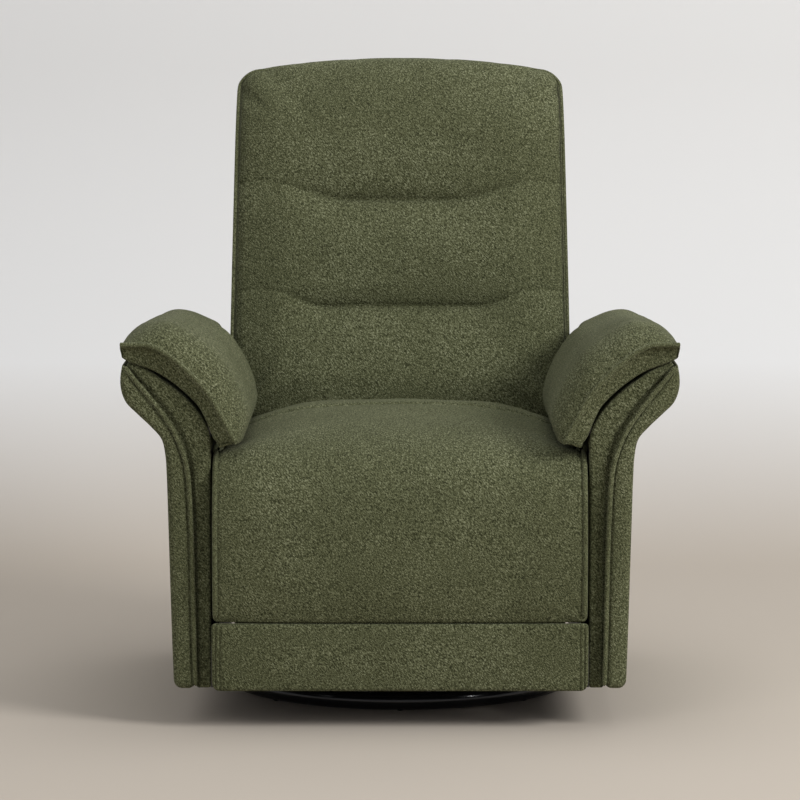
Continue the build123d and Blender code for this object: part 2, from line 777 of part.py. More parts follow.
def arm_pad():
    """Pillow laid over the arm; beside the back it keeps only the part above the arm."""
    tip = (arm_tip + arm_skin, pad_tip_height)
    shoulder = (arm_inner - pad_overhang / 5, arm_inner_top + pad_shoulder)
    inner = (pad_inner, arm_inner_top + pad_shoulder / 7)
    end = (arm_inner - pad_toe, pad_end_height + pad_end_radius / 5)
    heel = (arm_inner - pad_gap, pad_end_height + pad_end_radius / 5)
    section = [
        Line((arm_top_tip[0], arm_top_tip[1] + pad_gap), tip),
        ThreePointArc(tip, ((tip[0] + shoulder[0]) / 2, pad_crest), shoulder),
        ThreePointArc(shoulder, inner, end),
        ThreePointArc(end, ((end[0] + arm_inner) / 2, pad_end_height), heel),
        Line(heel, (arm_inner - pad_gap, arm_inner_top + pad_gap)),
        *arm_top(pad_gap, pad_gap),
    ]
    body = front_view(flat_outline(*section), (pad_front, pad_rear))
    bulge = (pad_rear - pad_front) / 5
    low, high = pad_end_height - pad_gap, pad_crest + pad_gap
    front_middle = (pad_front + bulge / 5, pad_front_height + 0.66 * (high - pad_front_height))
    rear_middle = (pad_rear - bulge / 3, high - pad_end_radius / 5)
    corner = (arm_inner - pad_overhang / 4, pad_front)
    side = [
        Line((pad_front, low), (pad_front, pad_front_height)),
        ThreePointArc((pad_front, pad_front_height), front_middle, (pad_front + bulge, high)),
        Line((pad_front + bulge, high), (pad_rear - bulge, high)),
        ThreePointArc((pad_rear - bulge, high), rear_middle, (pad_rear, high - pad_end_radius)),
        Line((pad_rear, high - pad_end_radius), (pad_rear, low)),
        Line((pad_rear, low), (pad_front, low)),
    ]
    body &= side_plate(flat_outline(*side), (0, 2 * arm_tip))
    plan = [
        Line((2 * arm_tip, pad_front), corner),
        ThreePointArc(corner, (pad_inner + pad_overhang / 5, pad_front + bulge / 5), (pad_inner, pad_front + bulge)),
        Line((pad_inner, pad_front + bulge), (pad_inner, pad_rear)),
        Line((pad_inner, pad_rear), (2 * arm_tip, pad_rear)),
        Line((2 * arm_tip, pad_rear), (2 * arm_tip, pad_front)),
    ]
    body &= plan_view(flat_outline(*plan), (low, high))
    room = lean * box((-arm_inner, arm_inner), (-pad_room, back_depth), (-back_height / 4, back_height))
    return body - room


# ---------------------------------------------------------------- closing panels
def front_panel():
    face = Pos(0, (panel_top + panel_bottom) / 2) * Rectangle(2 * panel_half_width, panel_top - panel_bottom)
    face = fillet(face.vertices().group_by(Axis.Y)[0], panel_corner)
    panel = extrude(Plane.XZ.offset(-panel_front - panel_thickness) * face, panel_thickness)
    return fillet(panel.faces().sort_by(Axis.Y)[0].edges(), panel_thickness / 3)


def front_rail():
    """Rail behind the front panel with an apron between the footrest's arms."""
    rear = front_rail_front + rail_thickness
    rail = box((-frame_face, frame_face), (front_rail_front, rear), (arm_bottom, arm_bottom + front_rail_height))
    half = arm_layer[0] - seat_frame_side_gap
    return rail + box((-half, half), (rear, rear + apron), (arm_bottom, apron_top))


def rear_rail():
    return box((-frame_face, frame_face), (frame_rear - rail_thickness, frame_rear), (arm_bottom, rear_rail_top))


def rear_skirt_panel():
    top = rear_rail_top + rear_skirt_rise
    face = RectangleRounded(2 * (frame_face + arm_frame), top - panel_bottom, rear_skirt)
    return extrude(Plane.XZ.offset(-arm_rear) * Pos(0, (top + panel_bottom) / 2) * face, rear_skirt)


# ---------------------------------------------------------------- release handle
cup_face = arm_foot + (arm_waist - arm_foot) * (cup_z + cup_height / 2 - arm_bottom) / (arm_waist_height - arm_bottom)
cup_outer = cup_face + turning_gap
cup_x = (cup_outer - cup_depth, cup_outer)
cup_ys = (cup_y - cup_width / 2, cup_y + cup_width / 2)
cup_zs = (cup_z - cup_height / 2, cup_z + cup_height / 2)
paddle_axis_x = cup_outer - paddle_thickness
paddle_axis_z = cup_zs[1] - cup_wall - 2 * paddle_thickness


def release_bezel():
    """Recessed cup with a flange on the arm's face and a pivot hole in each cheek."""
    cup = box(cup_x, cup_ys, cup_zs)
    hollow = box((cup_x[0] + cup_wall, cup_x[1] + cup_depth), shrink(cup_ys, cup_wall), shrink(cup_zs, cup_wall))
    flange_x = (cup_outer, cup_outer + cup_wall)
    flange = box(flange_x, shrink(cup_ys, -cup_flange), shrink(cup_zs, -cup_flange))
    pivot = along_y(paddle_axis_x, paddle_axis_z, paddle_pin + running_clearance, cup_ys)
    return cup + flange - hollow - pivot


def release_paddle():
    """Flat paddle that hangs from its own pins and is pulled out at its lower edge."""
    inside = shrink(cup_ys, cup_wall + paddle_gap)
    barrel = along_y(paddle_axis_x, paddle_axis_z, paddle_thickness, inside)
    pins = along_y(paddle_axis_x, paddle_axis_z, paddle_pin, cup_ys)
    blade_x = (paddle_axis_x - paddle_thickness / 2, paddle_axis_x + paddle_thickness / 2)
    blade = box(blade_x, inside, (paddle_axis_z - paddle_height, paddle_axis_z))
    return barrel + pins + blade


# ---------------------------------------------------------------- every piece is written to its own file
os.makedirs("parts", exist_ok=True)

write("base_ring", base_ring())
write("base_cross_bars", base_cross_bars())
write("base_glides", *base_glides())
write("bearing_lower_race", lower_race())
write("bearing_slide_ring", slide_ring())

write("bearing_upper_race", upper_race())
write("swivel_bolt", swivel_bolt())
write("glider_plate", glider_plate())
write_sides("glider_upright", side_plate(upright_outline(), upright_span))
write("glider_pins", *[p for top in glide_tops for p in pair(pivot_pin(top, upright_span, glide_span))])
write("glide_links_front", *glide_links(0))
write("glide_links_rear", *glide_links(1))

write_sides("carriage_rail", carriage_rail())
write("carriage_pins", *[p for foot in glide_feet for p in pair(pivot_pin(foot, carriage_span, glide_span))])
write("front_cross_rail", cross_rail(-1))
write("rear_cross_rail", cross_rail(1))
write_sides("mechanism_base", mechanism_base())
swing_tops = [swing_top_front, swing_top_rear]
write("mechanism_base_pins", *[p for top in swing_tops for p in pair(pivot_pin(top, base_layer, swing_layer))])

write("swing_links_front", *pair(front_swing_link()))
write("bell_cranks", *pair(bell_crank()))
write("drag_links", *pair(drag_link()))
drag_pins = [pivot_pin(crank_end, rail_layer, swing_layer), pivot_pin(back_tail, rail_layer, drive_layer)]
write("drag_link_pins", *[p for pin in drag_pins for p in pair(pin)])

write_sides("seat_rail", seat_rail())
rail_pins = [pivot_pin(foot, rail_layer, swing_layer) for foot in (swing_foot_front, swing_foot_rear)]
rail_pins += [pivot_pin(point, rail_layer, drive_layer) for point in (back_pivot, rear_pivot)]
write("seat_rail_pins", *[p for pin in rail_pins for p in pair(pin)])
write("seat_frame", seat_frame())
write("seat_webbing", seat_webbing())
write("seat_cushion", seat_cushion())

write_sides("back_bracket", back_bracket())
write("back_frame", back_frame())
write("back_webbing", *back_webbing())
write("back_cushion", back_cushion())
write("back_cover", back_cover())

write("footrest_drive_links", *pair(drive_link()))
write("footrest_drive_tube", drive_tube())
write("footrest_rear_links", *pair(rear_link()))
write("footrest_arms", *pair(footrest_arm()))
arm_pins = [pivot_pin(point, arm_layer, drive_layer) for point in (arm_rear_end, knee, arm_front_end)]
write("footrest_arm_pins", *[p for pin in arm_pins for p in pair(pin)])
write("footrest_stays", *pair(stay()))
stay_pins = [pivot_pin(point, arm_layer, drive_layer) for point in (stay_rear_end, stay_front_end)]
write("footrest_stay_pins", *[p for pin in stay_pins for p in pair(pin)])
write("footrest_brackets", *pair(footrest_bracket()))
write("footrest_board", footrest_board_panel())
write("footrest_pad", footrest_pad())

write_sides("arm_frame", arm_frame_panel())
left_bezel = mirror(release_bezel(), about=Plane.YZ)
pocket = mirror(box(cup_x, cup_ys, cup_zs), about=Plane.YZ)
right_cover, left_cover = pair(arm_cover())
write("arm_cover_right", right_cover)
write("arm_cover_left", left_cover - pocket)
write_sides("arm_pad", arm_pad())
write("release_bezel", left_bezel)
write("release_paddle", mirror(release_paddle(), about=Plane.YZ))

write("front_rail", front_rail())
write("front_panel", front_panel())
write("rear_rail", rear_rail())
write("rear_skirt", rear_skirt_panel())
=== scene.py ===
import json
import bpy
import numpy as np
from itertools import product
from math import cos, pi, radians, sin
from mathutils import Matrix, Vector


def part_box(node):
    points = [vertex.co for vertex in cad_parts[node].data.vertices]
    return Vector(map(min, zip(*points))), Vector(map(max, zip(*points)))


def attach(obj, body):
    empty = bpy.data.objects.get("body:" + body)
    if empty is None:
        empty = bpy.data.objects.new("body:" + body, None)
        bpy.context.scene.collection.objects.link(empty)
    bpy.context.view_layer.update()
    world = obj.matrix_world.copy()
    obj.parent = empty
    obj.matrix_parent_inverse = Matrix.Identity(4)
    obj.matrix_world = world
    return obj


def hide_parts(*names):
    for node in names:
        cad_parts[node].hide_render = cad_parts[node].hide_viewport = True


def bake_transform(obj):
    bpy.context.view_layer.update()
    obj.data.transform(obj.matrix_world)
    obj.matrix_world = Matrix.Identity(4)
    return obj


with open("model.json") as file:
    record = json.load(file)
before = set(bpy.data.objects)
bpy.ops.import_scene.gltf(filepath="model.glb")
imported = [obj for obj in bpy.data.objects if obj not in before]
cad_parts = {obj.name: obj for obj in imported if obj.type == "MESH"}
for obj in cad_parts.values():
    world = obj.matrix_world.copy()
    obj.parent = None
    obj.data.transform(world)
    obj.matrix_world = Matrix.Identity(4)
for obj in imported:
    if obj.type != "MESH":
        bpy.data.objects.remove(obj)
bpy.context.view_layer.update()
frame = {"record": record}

# Swivel glider recliner, dressed over its CAD frame.
# Shapes are worked out in millimetres and stored in metres. Right is the side of positive x.
mm = 1000.0
bothSides = ((1, "Right"), (-1, "Left"))


def boxOf(node):
    # lower and upper corner of a CAD node
    low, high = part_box(node)
    return np.array(low) * mm, np.array(high) * mm


def smoothStep(value, start, end):
    # 0 before start, 1 after end, 3t^2 - 2t^3 between them
    t = np.clip((value - start) / (end - start), 0.0, 1.0)
    return t * t * (3.0 - 2.0 * t)


def bell(distance, half):
    # 1 in its middle, falling off on both sides as exp(-(distance / half)^2)
    return np.exp(-((distance / half) ** 2))


def smoothCurve(points, count):
    # Catmull-Rom curve through the points, with the same number of steps from each point to the next
    points = np.array(points, float)
    padded = np.vstack([2 * points[0] - points[1], points, 2 * points[-1] - points[-2]])
    fine = np.linspace(0, len(points) - 1 - 1e-9, count)
    n = fine.astype(int)
    t = (fine - n)[:, None]
    a, b, c, d = padded[n], padded[n + 1], padded[n + 2], padded[n + 3]
    return 0.5 * (2 * b + (c - a) * t + (2 * a - 5 * b + 4 * c - d) * t**2 + (3 * b - a - 3 * c + d) * t**3)


def runningLength(curve):
    # distance along the curve from its start to each of its points
    return np.concatenate([[0], np.cumsum(np.linalg.norm(np.diff(curve, axis=0), axis=1))])


def readCurve(curve, marks, where):
    # the curve in between its points, which stand at these marks
    return np.stack([np.interp(where, marks, curve[:, k]) for k in range(curve.shape[1])], axis=1)


def evenSteps(curve, count):
    # the curve again, with `count` points at even distances along it
    length = runningLength(curve)
    return readCurve(curve, length, np.linspace(0, length[-1], count))


def pathLength(curve):
    # sum of the distances from point to point
    return np.linalg.norm(np.diff(curve, axis=0), axis=1).sum()


def pairedPath(stations, share):
    # two curves through matched points, both taken at the same shares of the first one's length
    stepsPerStation = 60
    count = stepsPerStation * len(stations)
    first = smoothCurve([s[0] for s in stations], count)
    second = smoothCurve([s[1] for s in stations], count)
    length, marks = runningLength(first), np.linspace(0, 1, count)
    where = np.interp(share, length / length[-1], marks)
    return readCurve(first, marks, where), readCurve(second, marks, where)


def shellLattice(counts):
    # outside points of a lattice of cells, as shares from 0 to 1 along each axis, and the quads between them
    shape = [n + 1 for n in counts]
    quads = []
    for axis in range(3):
        a, b = [n for n in range(3) if n != axis]
        ia, ib = np.meshgrid(np.arange(counts[a]), np.arange(counts[b]), indexing="ij")
        for side in (0, 1):
            corners = []
            for da, db in ((0, 0), (1, 0), (1, 1), (0, 1)):
                place = [None] * 3
                place[a], place[b] = ia + da, ib + db
                place[axis] = np.full_like(ia, side * counts[axis])
                corners.append(np.ravel_multi_index(place, shape).ravel())
            face = np.stack(corners, axis=1)
            facesOut = (side == 1) != (axis == 1)
            quads.append(face if facesOut else face[:, ::-1])
    used, quads = np.unique(np.concatenate(quads), return_inverse=True)
    share = np.stack(np.unravel_index(used, shape), axis=1) / np.array(counts)
    return share, quads.reshape(-1, 4)


def roundedBlock(share, size, radius, gather=1.0):
    # block from 0 to size with round edges: a point of the plain block is drawn back to within `radius`
    # of the smaller block that the edges are rounded about; lattice lines gather near the edges
    size = np.array(size, float)
    points = (share + gather * (0.5 - 0.5 * np.cos(pi * share) - share)) * size
    radius = np.minimum(radius, size / 2 - 0.01)
    inner = np.clip(points, radius, size - radius)
    away = (points - inner) / radius
    reach = np.linalg.norm(away, axis=1, keepdims=True)
    return inner + radius * away / np.maximum(reach, 1e-9) * (reach > 0)


def cornerFall(x, half, corner):
    # how far a quarter circle draws an edge in near its two ends, which lie at `half` from the middle
    over = np.clip(np.abs(x) - (half - corner), 0, corner - 0.5)
    return corner - np.sqrt(corner**2 - over**2)


def roundedBox(size, radius, counts):
    # rounded block with its lower corner at the origin, and its faces
    share, quads = shellLattice(counts)
    return roundedBlock(share, size, radius), quads


def readLattice(grid, share):
    # value of a lattice at each share: its eight neighbours, each weighted by how near it is
    cells = np.array(grid.shape[:3]) - 1
    low = np.minimum((share * cells).astype(int), cells - 1)
    part = share * cells - low
    total = np.zeros((len(share), grid.shape[3]))
    for corner in product((0, 1), repeat=3):
        weight = np.prod(np.where(corner, part, 1 - part), axis=1)
        total += weight[:, None] * grid[tuple((low + corner).T)]
    return total


def addPiece(name, points, quads, material):
    # mesh object at the origin, smooth shaded, from points in millimetres and four corners for each face
    points = np.asarray(points, np.float32) / mm
    mesh = bpy.data.meshes.new(name)
    mesh.vertices.add(len(points))
    mesh.vertices.foreach_set("co", points.ravel())
    mesh.loops.add(quads.size)
    mesh.loops.foreach_set("vertex_index", quads.ravel().astype(np.int32))
    mesh.polygons.add(len(quads))
    mesh.polygons.foreach_set("loop_start", np.arange(0, quads.size, quads.shape[1], dtype=np.int32))
    mesh.polygons.foreach_set("use_smooth", np.full(len(quads), True))
    mesh.update(calc_edges=True)
    mesh.validate()
    piece = bpy.data.objects.new(name, mesh)
    bpy.context.scene.collection.objects.link(piece)
    mesh.materials.append(material)
    return piece


pipingDetail = {"sides": 10, "endRows": 3}


def sweep(path, radius, normal):
    # circle carried along the path: path + radius * (cos a * normal + sin a * (normal x tangent)), whose
    # radius shrinks as a quarter circle over the last rows at both ends
    path = np.asarray(path, float)
    tangent = np.gradient(path, axis=0)
    tangent /= np.linalg.norm(tangent, axis=1, keepdims=True)
    normal = np.broadcast_to(np.asarray(normal, float), path.shape)
    first = normal - tangent * (normal * tangent).sum(axis=1, keepdims=True)
    first /= np.linalg.norm(first, axis=1, keepdims=True)
    second = np.cross(tangent, first)
    rows, sides, endRows = len(path), pipingDetail["sides"], pipingDetail["endRows"]
    angle = (np.arange(sides) * 2 * pi / sides)[None, :, None]
    ring = np.cos(angle) * first[:, None, :] + np.sin(angle) * second[:, None, :]
    fromEnd = np.minimum(np.arange(rows), np.arange(rows)[::-1])
    reach = radius * np.sqrt(np.clip(1 - (1 - np.minimum(fromEnd, endRows) / endRows) ** 2, 0.02, 1))
    points = path[:, None, :] + ring * reach[:, None, None]
    i, j = np.meshgrid(np.arange(rows - 1), np.arange(sides), indexing="ij")
    here, there, beside = i * sides, (i + 1) * sides, (j + 1) % sides
    quads = np.stack([here + j, here + beside, there + beside, there + j], axis=-1)
    return points.reshape(-1, 3), quads.reshape(-1, 4)


def joined(parts):
    # several (points, quads) meshes as one
    points, quads, base = [], [], 0
    for p, q in parts:
        points.append(p)
        quads.append(q + base)
        base += len(p)
    return np.concatenate(points), np.concatenate(quads)


clothFacts = {
    "quality": 5,
    "mass": 0.3,
    "stretch": 15.0,
    "bend": 2.0,
    "pressure": 4.0,
    "frames": 20,
}


def blown(shape, counts, held, cap):
    # moves of a cloth skin that air blows up inside its own shape, found on a coarse lattice; the points
    # that `held` picks stay where they are, and no move is longer than `cap`
    share, quads = shellLattice(counts)
    points = shape(share)
    skin = addPiece("clothSkin", points, quads, greenFabric)
    pins = skin.vertex_groups.new(name="held")
    pins.add(np.flatnonzero(held(share)).tolist(), 1.0, "REPLACE")
    cloth = skin.modifiers.new("cloth", "CLOTH")
    cloth.settings.quality = clothFacts["quality"]
    cloth.settings.mass = clothFacts["mass"]
    cloth.settings.tension_stiffness = clothFacts["stretch"]
    cloth.settings.compression_stiffness = clothFacts["stretch"]
    cloth.settings.bending_stiffness = clothFacts["bend"]
    cloth.settings.use_pressure = True
    cloth.settings.uniform_pressure_force = clothFacts["pressure"]
    cloth.settings.vertex_group_mass = "held"
    cloth.settings.effector_weights.gravity = 0.0
    cloth.point_cache.frame_start, cloth.point_cache.frame_end = 1, clothFacts["frames"]
    for frameNumber in range(1, clothFacts["frames"] + 1):
        bpy.context.scene.frame_set(frameNumber)
    settled = skin.evaluated_get(bpy.context.evaluated_depsgraph_get())
    after = np.empty(points.size, np.float32)
    settled.to_mesh().vertices.foreach_get("co", after)
    settled.to_mesh_clear()
    moves = after.reshape(-1, 3) * mm - points
    reach = np.linalg.norm(moves, axis=1, keepdims=True)
    print(f"cloth skin moved {reach.mean():.1f} mm on average and {reach.max():.1f} at most")
    moves *= np.minimum(1.0, cap / np.maximum(reach, 1e-6))
    bpy.context.scene.frame_set(1)
    bpy.data.objects.remove(skin)
    grid = np.zeros((*[n + 1 for n in counts], 3))
    grid[tuple(np.rint(share * counts).astype(int).T)] = moves
    return lambda at: readLattice(grid, at)


def onSide(side, part):
    # a part drawn on the right, or for side -1 its mirror image, with the faces still pointing outwards
    points, quads = part
    return (points, quads) if side > 0 else (points * np.array([-1.0, 1.0, 1.0]), quads[:, ::-1])


rippleWaves = {"count": 6, "shortest": 0.6, "step": 0.25}


def ripple(points, amount, scale, seed):
    # soft unevenness of stuffed fabric: a sum of slow sine waves in several directions
    rng = np.random.default_rng(seed)
    total = np.zeros(len(points))
    for n in range(rippleWaves["count"]):
        direction = rng.normal(size=3)
        direction /= np.linalg.norm(direction)
        wave = scale * (rippleWaves["shortest"] + rippleWaves["step"] * n)
        total += np.sin(points @ direction * 2 * pi / wave + rng.uniform(0, 2 * pi))
    return amount * total / rippleWaves["count"]


def newGroup(name, inputs, outputs):
    # empty node group with its sockets; inputs give their first value, outputs their kind
    group = bpy.data.node_groups.new(name, "ShaderNodeTree")
    for label, value in inputs.items():
        kind = "NodeSocketColor" if isinstance(value, tuple) else "NodeSocketFloat"
        group.interface.new_socket(label, in_out="INPUT", socket_type=kind).default_value = value
    for label, kind in outputs.items():
        group.interface.new_socket(label, in_out="OUTPUT", socket_type=kind)
    return group, group.nodes.new("NodeGroupInput"), group.nodes.new("NodeGroupOutput")


def connect(tree, node, links):
    # each input of the node linked to its source socket, or set to its value
    for socket, source in links.items():
        if hasattr(source, "is_linked"):
            tree.links.new(source, node.inputs[socket])
        else:
            node.inputs[socket].default_value = source


def addNode(tree, kind, links, **settings):
    # node with its settings made and its inputs connected
    node = tree.nodes.new(kind)
    for key, value in settings.items():
        setattr(node, key, value)
    connect(tree, node, links)
    return node


def objectPlace(tree):
    # coordinates that stay with the piece
    return addNode(tree, "ShaderNodeTexCoord", {}).outputs["Object"]


def noiseOf(tree, place, scale, detail, **more):
    # soft random pattern from 0 to 1
    links = {"Vector": place, "Scale": scale, "Detail": detail, **more}
    return addNode(tree, "ShaderNodeTexNoise", links).outputs["Fac"]


def mathOf(tree, operation, first, second):
    # one sum or product of two sockets or values
    return addNode(tree, "ShaderNodeMath", {0: first, 1: second}, operation=operation).outputs[0]


def mapped(tree, value, fromLow, fromHigh, toLow=0.0, toHigh=1.0):
    # the value carried from one range to another and kept inside it
    links = {"Value": value, "From Min": fromLow, "From Max": fromHigh, "To Min": toLow, "To Max": toHigh}
    return addNode(tree, "ShaderNodeMapRange", links).outputs[0]


def mixColours(tree, factor, first, second):
    # the colour sockets of a Mix node share their names with its other kinds, so they are taken by number
    return addNode(tree, "ShaderNodeMix", {0: factor, 6: first, 7: second}, data_type="RGBA").outputs[2]


yarnLook = {
    "slant": -42.0,  # degrees by which the rows of loops lean, seen from the front
    "stretch": (1.0, 2.6, 1.9),
    "grain": 610.0,  # this and the next two are pattern scales
    "loops": 370.0,
    "patches": 6.0,
    "loopHeight": (0.12, 0.40),  # where the loops are few, and where they are many
    "grainHeight": 0.75,
    "roughness": (1.0, 0.84),  # in the hollows, and on the tops
}


def tuftedGroup():
    # fine yarn grain all over, with light loops in slanting rows that come and go in patches
    plain = (0.1, 0.1, 0.1, 1.0)
    group, given, result = newGroup(
        "tuftedYarn",
        {"Size": 1.0, "Dark": plain, "Middle": plain, "Light": plain},
        {"Color": "NodeSocketColor", "Height": "NodeSocketFloat", "Roughness": "NodeSocketFloat"},
    )
    place = objectPlace(group)
    links = {0: place, "Scale": given.outputs["Size"]}
    sized = addNode(group, "ShaderNodeVectorMath", links, operation="SCALE").outputs[0]
    slant = (0.0, radians(yarnLook["slant"]), 0.0)
    links = {"Vector": sized, "Rotation": slant, "Scale": yarnLook["stretch"]}
    rows = addNode(group, "ShaderNodeMapping", links, vector_type="TEXTURE").outputs[0]
    grain = noiseOf(group, rows, yarnLook["grain"], 2.0, Roughness=0.6)
    links = {"Vector": rows, "Scale": yarnLook["loops"], "Randomness": 0.85}
    loops = addNode(group, "ShaderNodeTexVoronoi", links).outputs["Distance"]
    patches = noiseOf(group, place, yarnLook["patches"], 2.0)
    shown = mapped(group, patches, 0.40, 0.62, *yarnLook["loopHeight"])
    loopHeight = mathOf(group, "MULTIPLY", mapped(group, loops, 0.62, 0.05), shown)
    grainHeight = mapped(group, grain, 0.3, 0.7, 0.0, yarnLook["grainHeight"])
    height = mathOf(group, "ADD", loopHeight, grainHeight)
    dark, middle, light = [given.outputs[label] for label in ("Dark", "Middle", "Light")]
    lower = mixColours(group, mapped(group, height, 0.12, 0.5), dark, middle)
    colour = mixColours(group, mapped(group, height, 0.5, 1.0), lower, light)
    roughness = mapped(group, height, 0.1, 1.0, *yarnLook["roughness"])
    connect(group, result, {"Color": colour, "Height": height, "Roughness": roughness})
    return group


def newMaterial(name, sockets):
    # material whose shader has these sockets set, with its tree and shader
    material = bpy.data.materials.new(name)
    material.use_nodes = True
    shader = material.node_tree.nodes["Principled BSDF"]
    connect(material.node_tree, shader, sockets)
    return material, material.node_tree, shader


def linkBump(tree, shader, height, distance):
    # the height pattern as relief, `distance` metres deep
    bump = addNode(tree, "ShaderNodeBump", {"Height": height, "Distance": distance, "Strength": 1.0})
    connect(tree, shader, {"Normal": bump.outputs["Normal"]})


fabricLook = {
    "dark": (0.022, 0.024, 0.010),
    "middle": (0.087, 0.093, 0.045),
    "light": (0.245, 0.255, 0.155),
    "sheenTint": (0.66, 0.69, 0.47),
}
yarn = tuftedGroup()


def fabricMaterial(name, size, bump, sheen):
    # the yarn in the cover's colours with a soft sheen; a larger size makes a finer yarn
    tint = (*fabricLook["sheenTint"], 1.0)
    sockets = {"Specular IOR Level": 0.12, "Sheen Weight": sheen, "Sheen Roughness": 0.45, "Sheen Tint": tint}
    material, tree, shader = newMaterial(name, sockets)
    colours = {label: (*fabricLook[label.lower()], 1.0) for label in ("Dark", "Middle", "Light")}
    tufts = addNode(tree, "ShaderNodeGroup", {"Size": size, **colours}, node_tree=yarn).outputs
    connect(tree, shader, {"Base Color": tufts["Color"], "Roughness": tufts["Roughness"]})
    linkBump(tree, shader, tufts["Height"], bump)
    return material


greenFabric = fabricMaterial("greenFabric", 1.0, 0.0012, 0.11)
greenPiping = fabricMaterial("greenPiping", 1.25, 0.0007, 0.24)


def paintedSteel(name, colour, roughness, speckle, bump):
    # sprayed coat: fine orange peel and slightly uneven gloss
    material, tree, shader = newMaterial(name, {"Base Color": (*colour, 1.0), "Specular IOR Level": 0.5})
    place = objectPlace(tree)
    haze = noiseOf(tree, place, 30.0, 3.0)
    connect(tree, shader, {"Roughness": mapped(tree, haze, 0.3, 0.7, roughness * 0.75, roughness * 1.3)})
    linkBump(tree, shader, noiseOf(tree, place, speckle, 2.0), bump)
    return material


def platedSteel():
    # zinc plate: pale grey with soft spangles and a little tarnish
    material, tree, shader = newMaterial("zincSteel", {"Metallic": 1.0})
    place = objectPlace(tree)
    spangle = addNode(tree, "ShaderNodeTexVoronoi", {"Vector": place, "Scale": 170.0}).outputs["Distance"]
    tarnish = noiseOf(tree, place, 24.0, 4.0)
    colour = mixColours(tree, tarnish, (0.46, 0.47, 0.48, 1), (0.64, 0.65, 0.66, 1))
    connect(tree, shader, {"Base Color": colour, "Roughness": mapped(tree, spangle, 0.0, 1.0, 0.28, 0.48)})
    linkBump(tree, shader, spangle, 0.0001)
    return material


def plyWood(name, early, late):
    # plain board: long grain streaks along Y with darker latewood
    material, tree, shader = newMaterial(name, {})
    links = {"Vector": objectPlace(tree), "Scale": (14.0, 2.2, 60.0)}
    stretched = addNode(tree, "ShaderNodeMapping", links).outputs[0]
    grain = noiseOf(tree, stretched, 3.0, 6.0, Distortion=0.6)
    colour = mixColours(tree, grain, (*late, 1), (*early, 1))
    connect(tree, shader, {"Base Color": colour, "Roughness": mapped(tree, grain, 0.0, 1.0, 0.75, 0.55)})
    linkBump(tree, shader, grain, 0.0003)
    return material


def strapWeave():
    # elastic webbing: crossing ribs from two wave patterns
    material, tree, shader = newMaterial("webbing", {"Roughness": 0.85})
    links = {"Vector": objectPlace(tree), "Scale": 130.0}
    ribs = [addNode(tree, "ShaderNodeTexWave", links, bands_direction=way) for way in ("X", "DIAGONAL")]
    both = mathOf(tree, "MULTIPLY", ribs[0].outputs["Fac"], ribs[1].outputs["Fac"])
    colour = mixColours(tree, both, (0.02, 0.02, 0.022, 1), (0.07, 0.07, 0.075, 1))
    connect(tree, shader, {"Base Color": colour})
    linkBump(tree, shader, both, 0.0004)
    return material


blackEnamel = paintedSteel("blackEnamel", (0.010, 0.010, 0.011), 0.2, 260.0, 0.00004)
blackPlastic = paintedSteel("blackPlastic", (0.014, 0.014, 0.014), 0.38, 900.0, 0.0002)
# darker timber for the frame edges seen in the gaps between the covers: painted shade for those gaps, where
# the real rail is also dark-lined
gapShadeTimber = plyWood("gapShadeTimber", (0.030, 0.026, 0.020), (0.014, 0.012, 0.010))
slotFinish = {
    "black_enamel": blackEnamel,
    "black_steel": paintedSteel("blackSteel", (0.018, 0.018, 0.019), 0.42, 700.0, 0.00012),
    "zinc_steel": platedSteel(),
    "timber": plyWood("timber", (0.60, 0.44, 0.27), (0.30, 0.19, 0.10)),
    "black_plastic": blackPlastic,
    "webbing": strapWeave(),
    "green_fabric": greenFabric,
}
# frame pieces whose edges take the darker timber as painted shade of the gaps
gapShadeNodes = ("front_rail", "arm_frame_left", "arm_frame_right")  # their edges show between the covers
print("materials made")


def dress(piece, body):
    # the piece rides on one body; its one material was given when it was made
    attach(piece, body)


backShape = {
    "foot": (100.0, 440.0),  # y and z of its lower front corner
    "lean": 18.0,
    "height": 671.5,
    "halfFoot": 300.5,
    "halfTop": 290.5,
    "narrowing": 1.3,  # power of the height by which it narrows
    "depth": 109.0,
    "edge": 14.0,
    "corner": 40.0,
    "crown": 19.0,  # how far the top falls at the distance below, and the power of its curve
    "crownReach": 250.0,
    "crownPower": 2.2,
    "topRoll": (150.0, 62.0),  # how far down the face it starts, and how deep it goes
    "belly": 13.0,  # how far the face falls back at its sides, and the power of its curve
    "bellyPower": 2.6,
    "lip": 6.0,  # how far the boxing stands out beyond the front panel
    "lipDepth": 50.0,  # over what depth it comes out
    "edgeDepth": 15.0,  # the piping's distance behind the face
    "seams": (  # height, rise at the sides, and from where to where it rises
        (203.0, 29.0, 135.0, 245.0),
        (395.0, 33.0, 90.0, 255.0),
    ),
    "fold": (25.0, 4.0),  # depth of the channels in the middle and at the sides
    "foldEnds": (20.0, 15.0),  # how far inside the rise of the seam they start and end to run out
    "foldReach": (15.0, 27.0),  # of the steep part, above the seam and below it
    "foldSoft": (0.28, 62.0),  # share and reach of the soft part
    "stitch": (2.2, 1.8),  # more depth on the stitched line itself, in the middle and all along
    "stitchHalf": 2.4,
    "sink": 2.0,  # the whole face lies this much behind its outline, for the blown cloth to fill
    "wrinkles": (1.8, 150.0, 3),  # height, length and seed
    "blown": (0.55, 0.55, 0.3),  # how much of the cloth's moves is used along each axis
    "blownCap": 26.0,
}


def leanBack(points):
    # (x, depth behind the face, height along it) turned back by the lean and stood on the foot point
    a = radians(backShape["lean"])
    y = backShape["foot"][0] + points[:, 1] * cos(a) + points[:, 2] * sin(a)
    z = backShape["foot"][1] - points[:, 1] * sin(a) + points[:, 2] * cos(a)
    return np.stack([points[:, 0], y, z], axis=1)


def backWidth(height):
    # half the width, from the foot's to the top's by a power of the height
    foot, top = backShape["halfFoot"], backShape["halfTop"]
    return foot + (top - foot) * np.clip(height / backShape["height"], 0, 1) ** backShape["narrowing"]


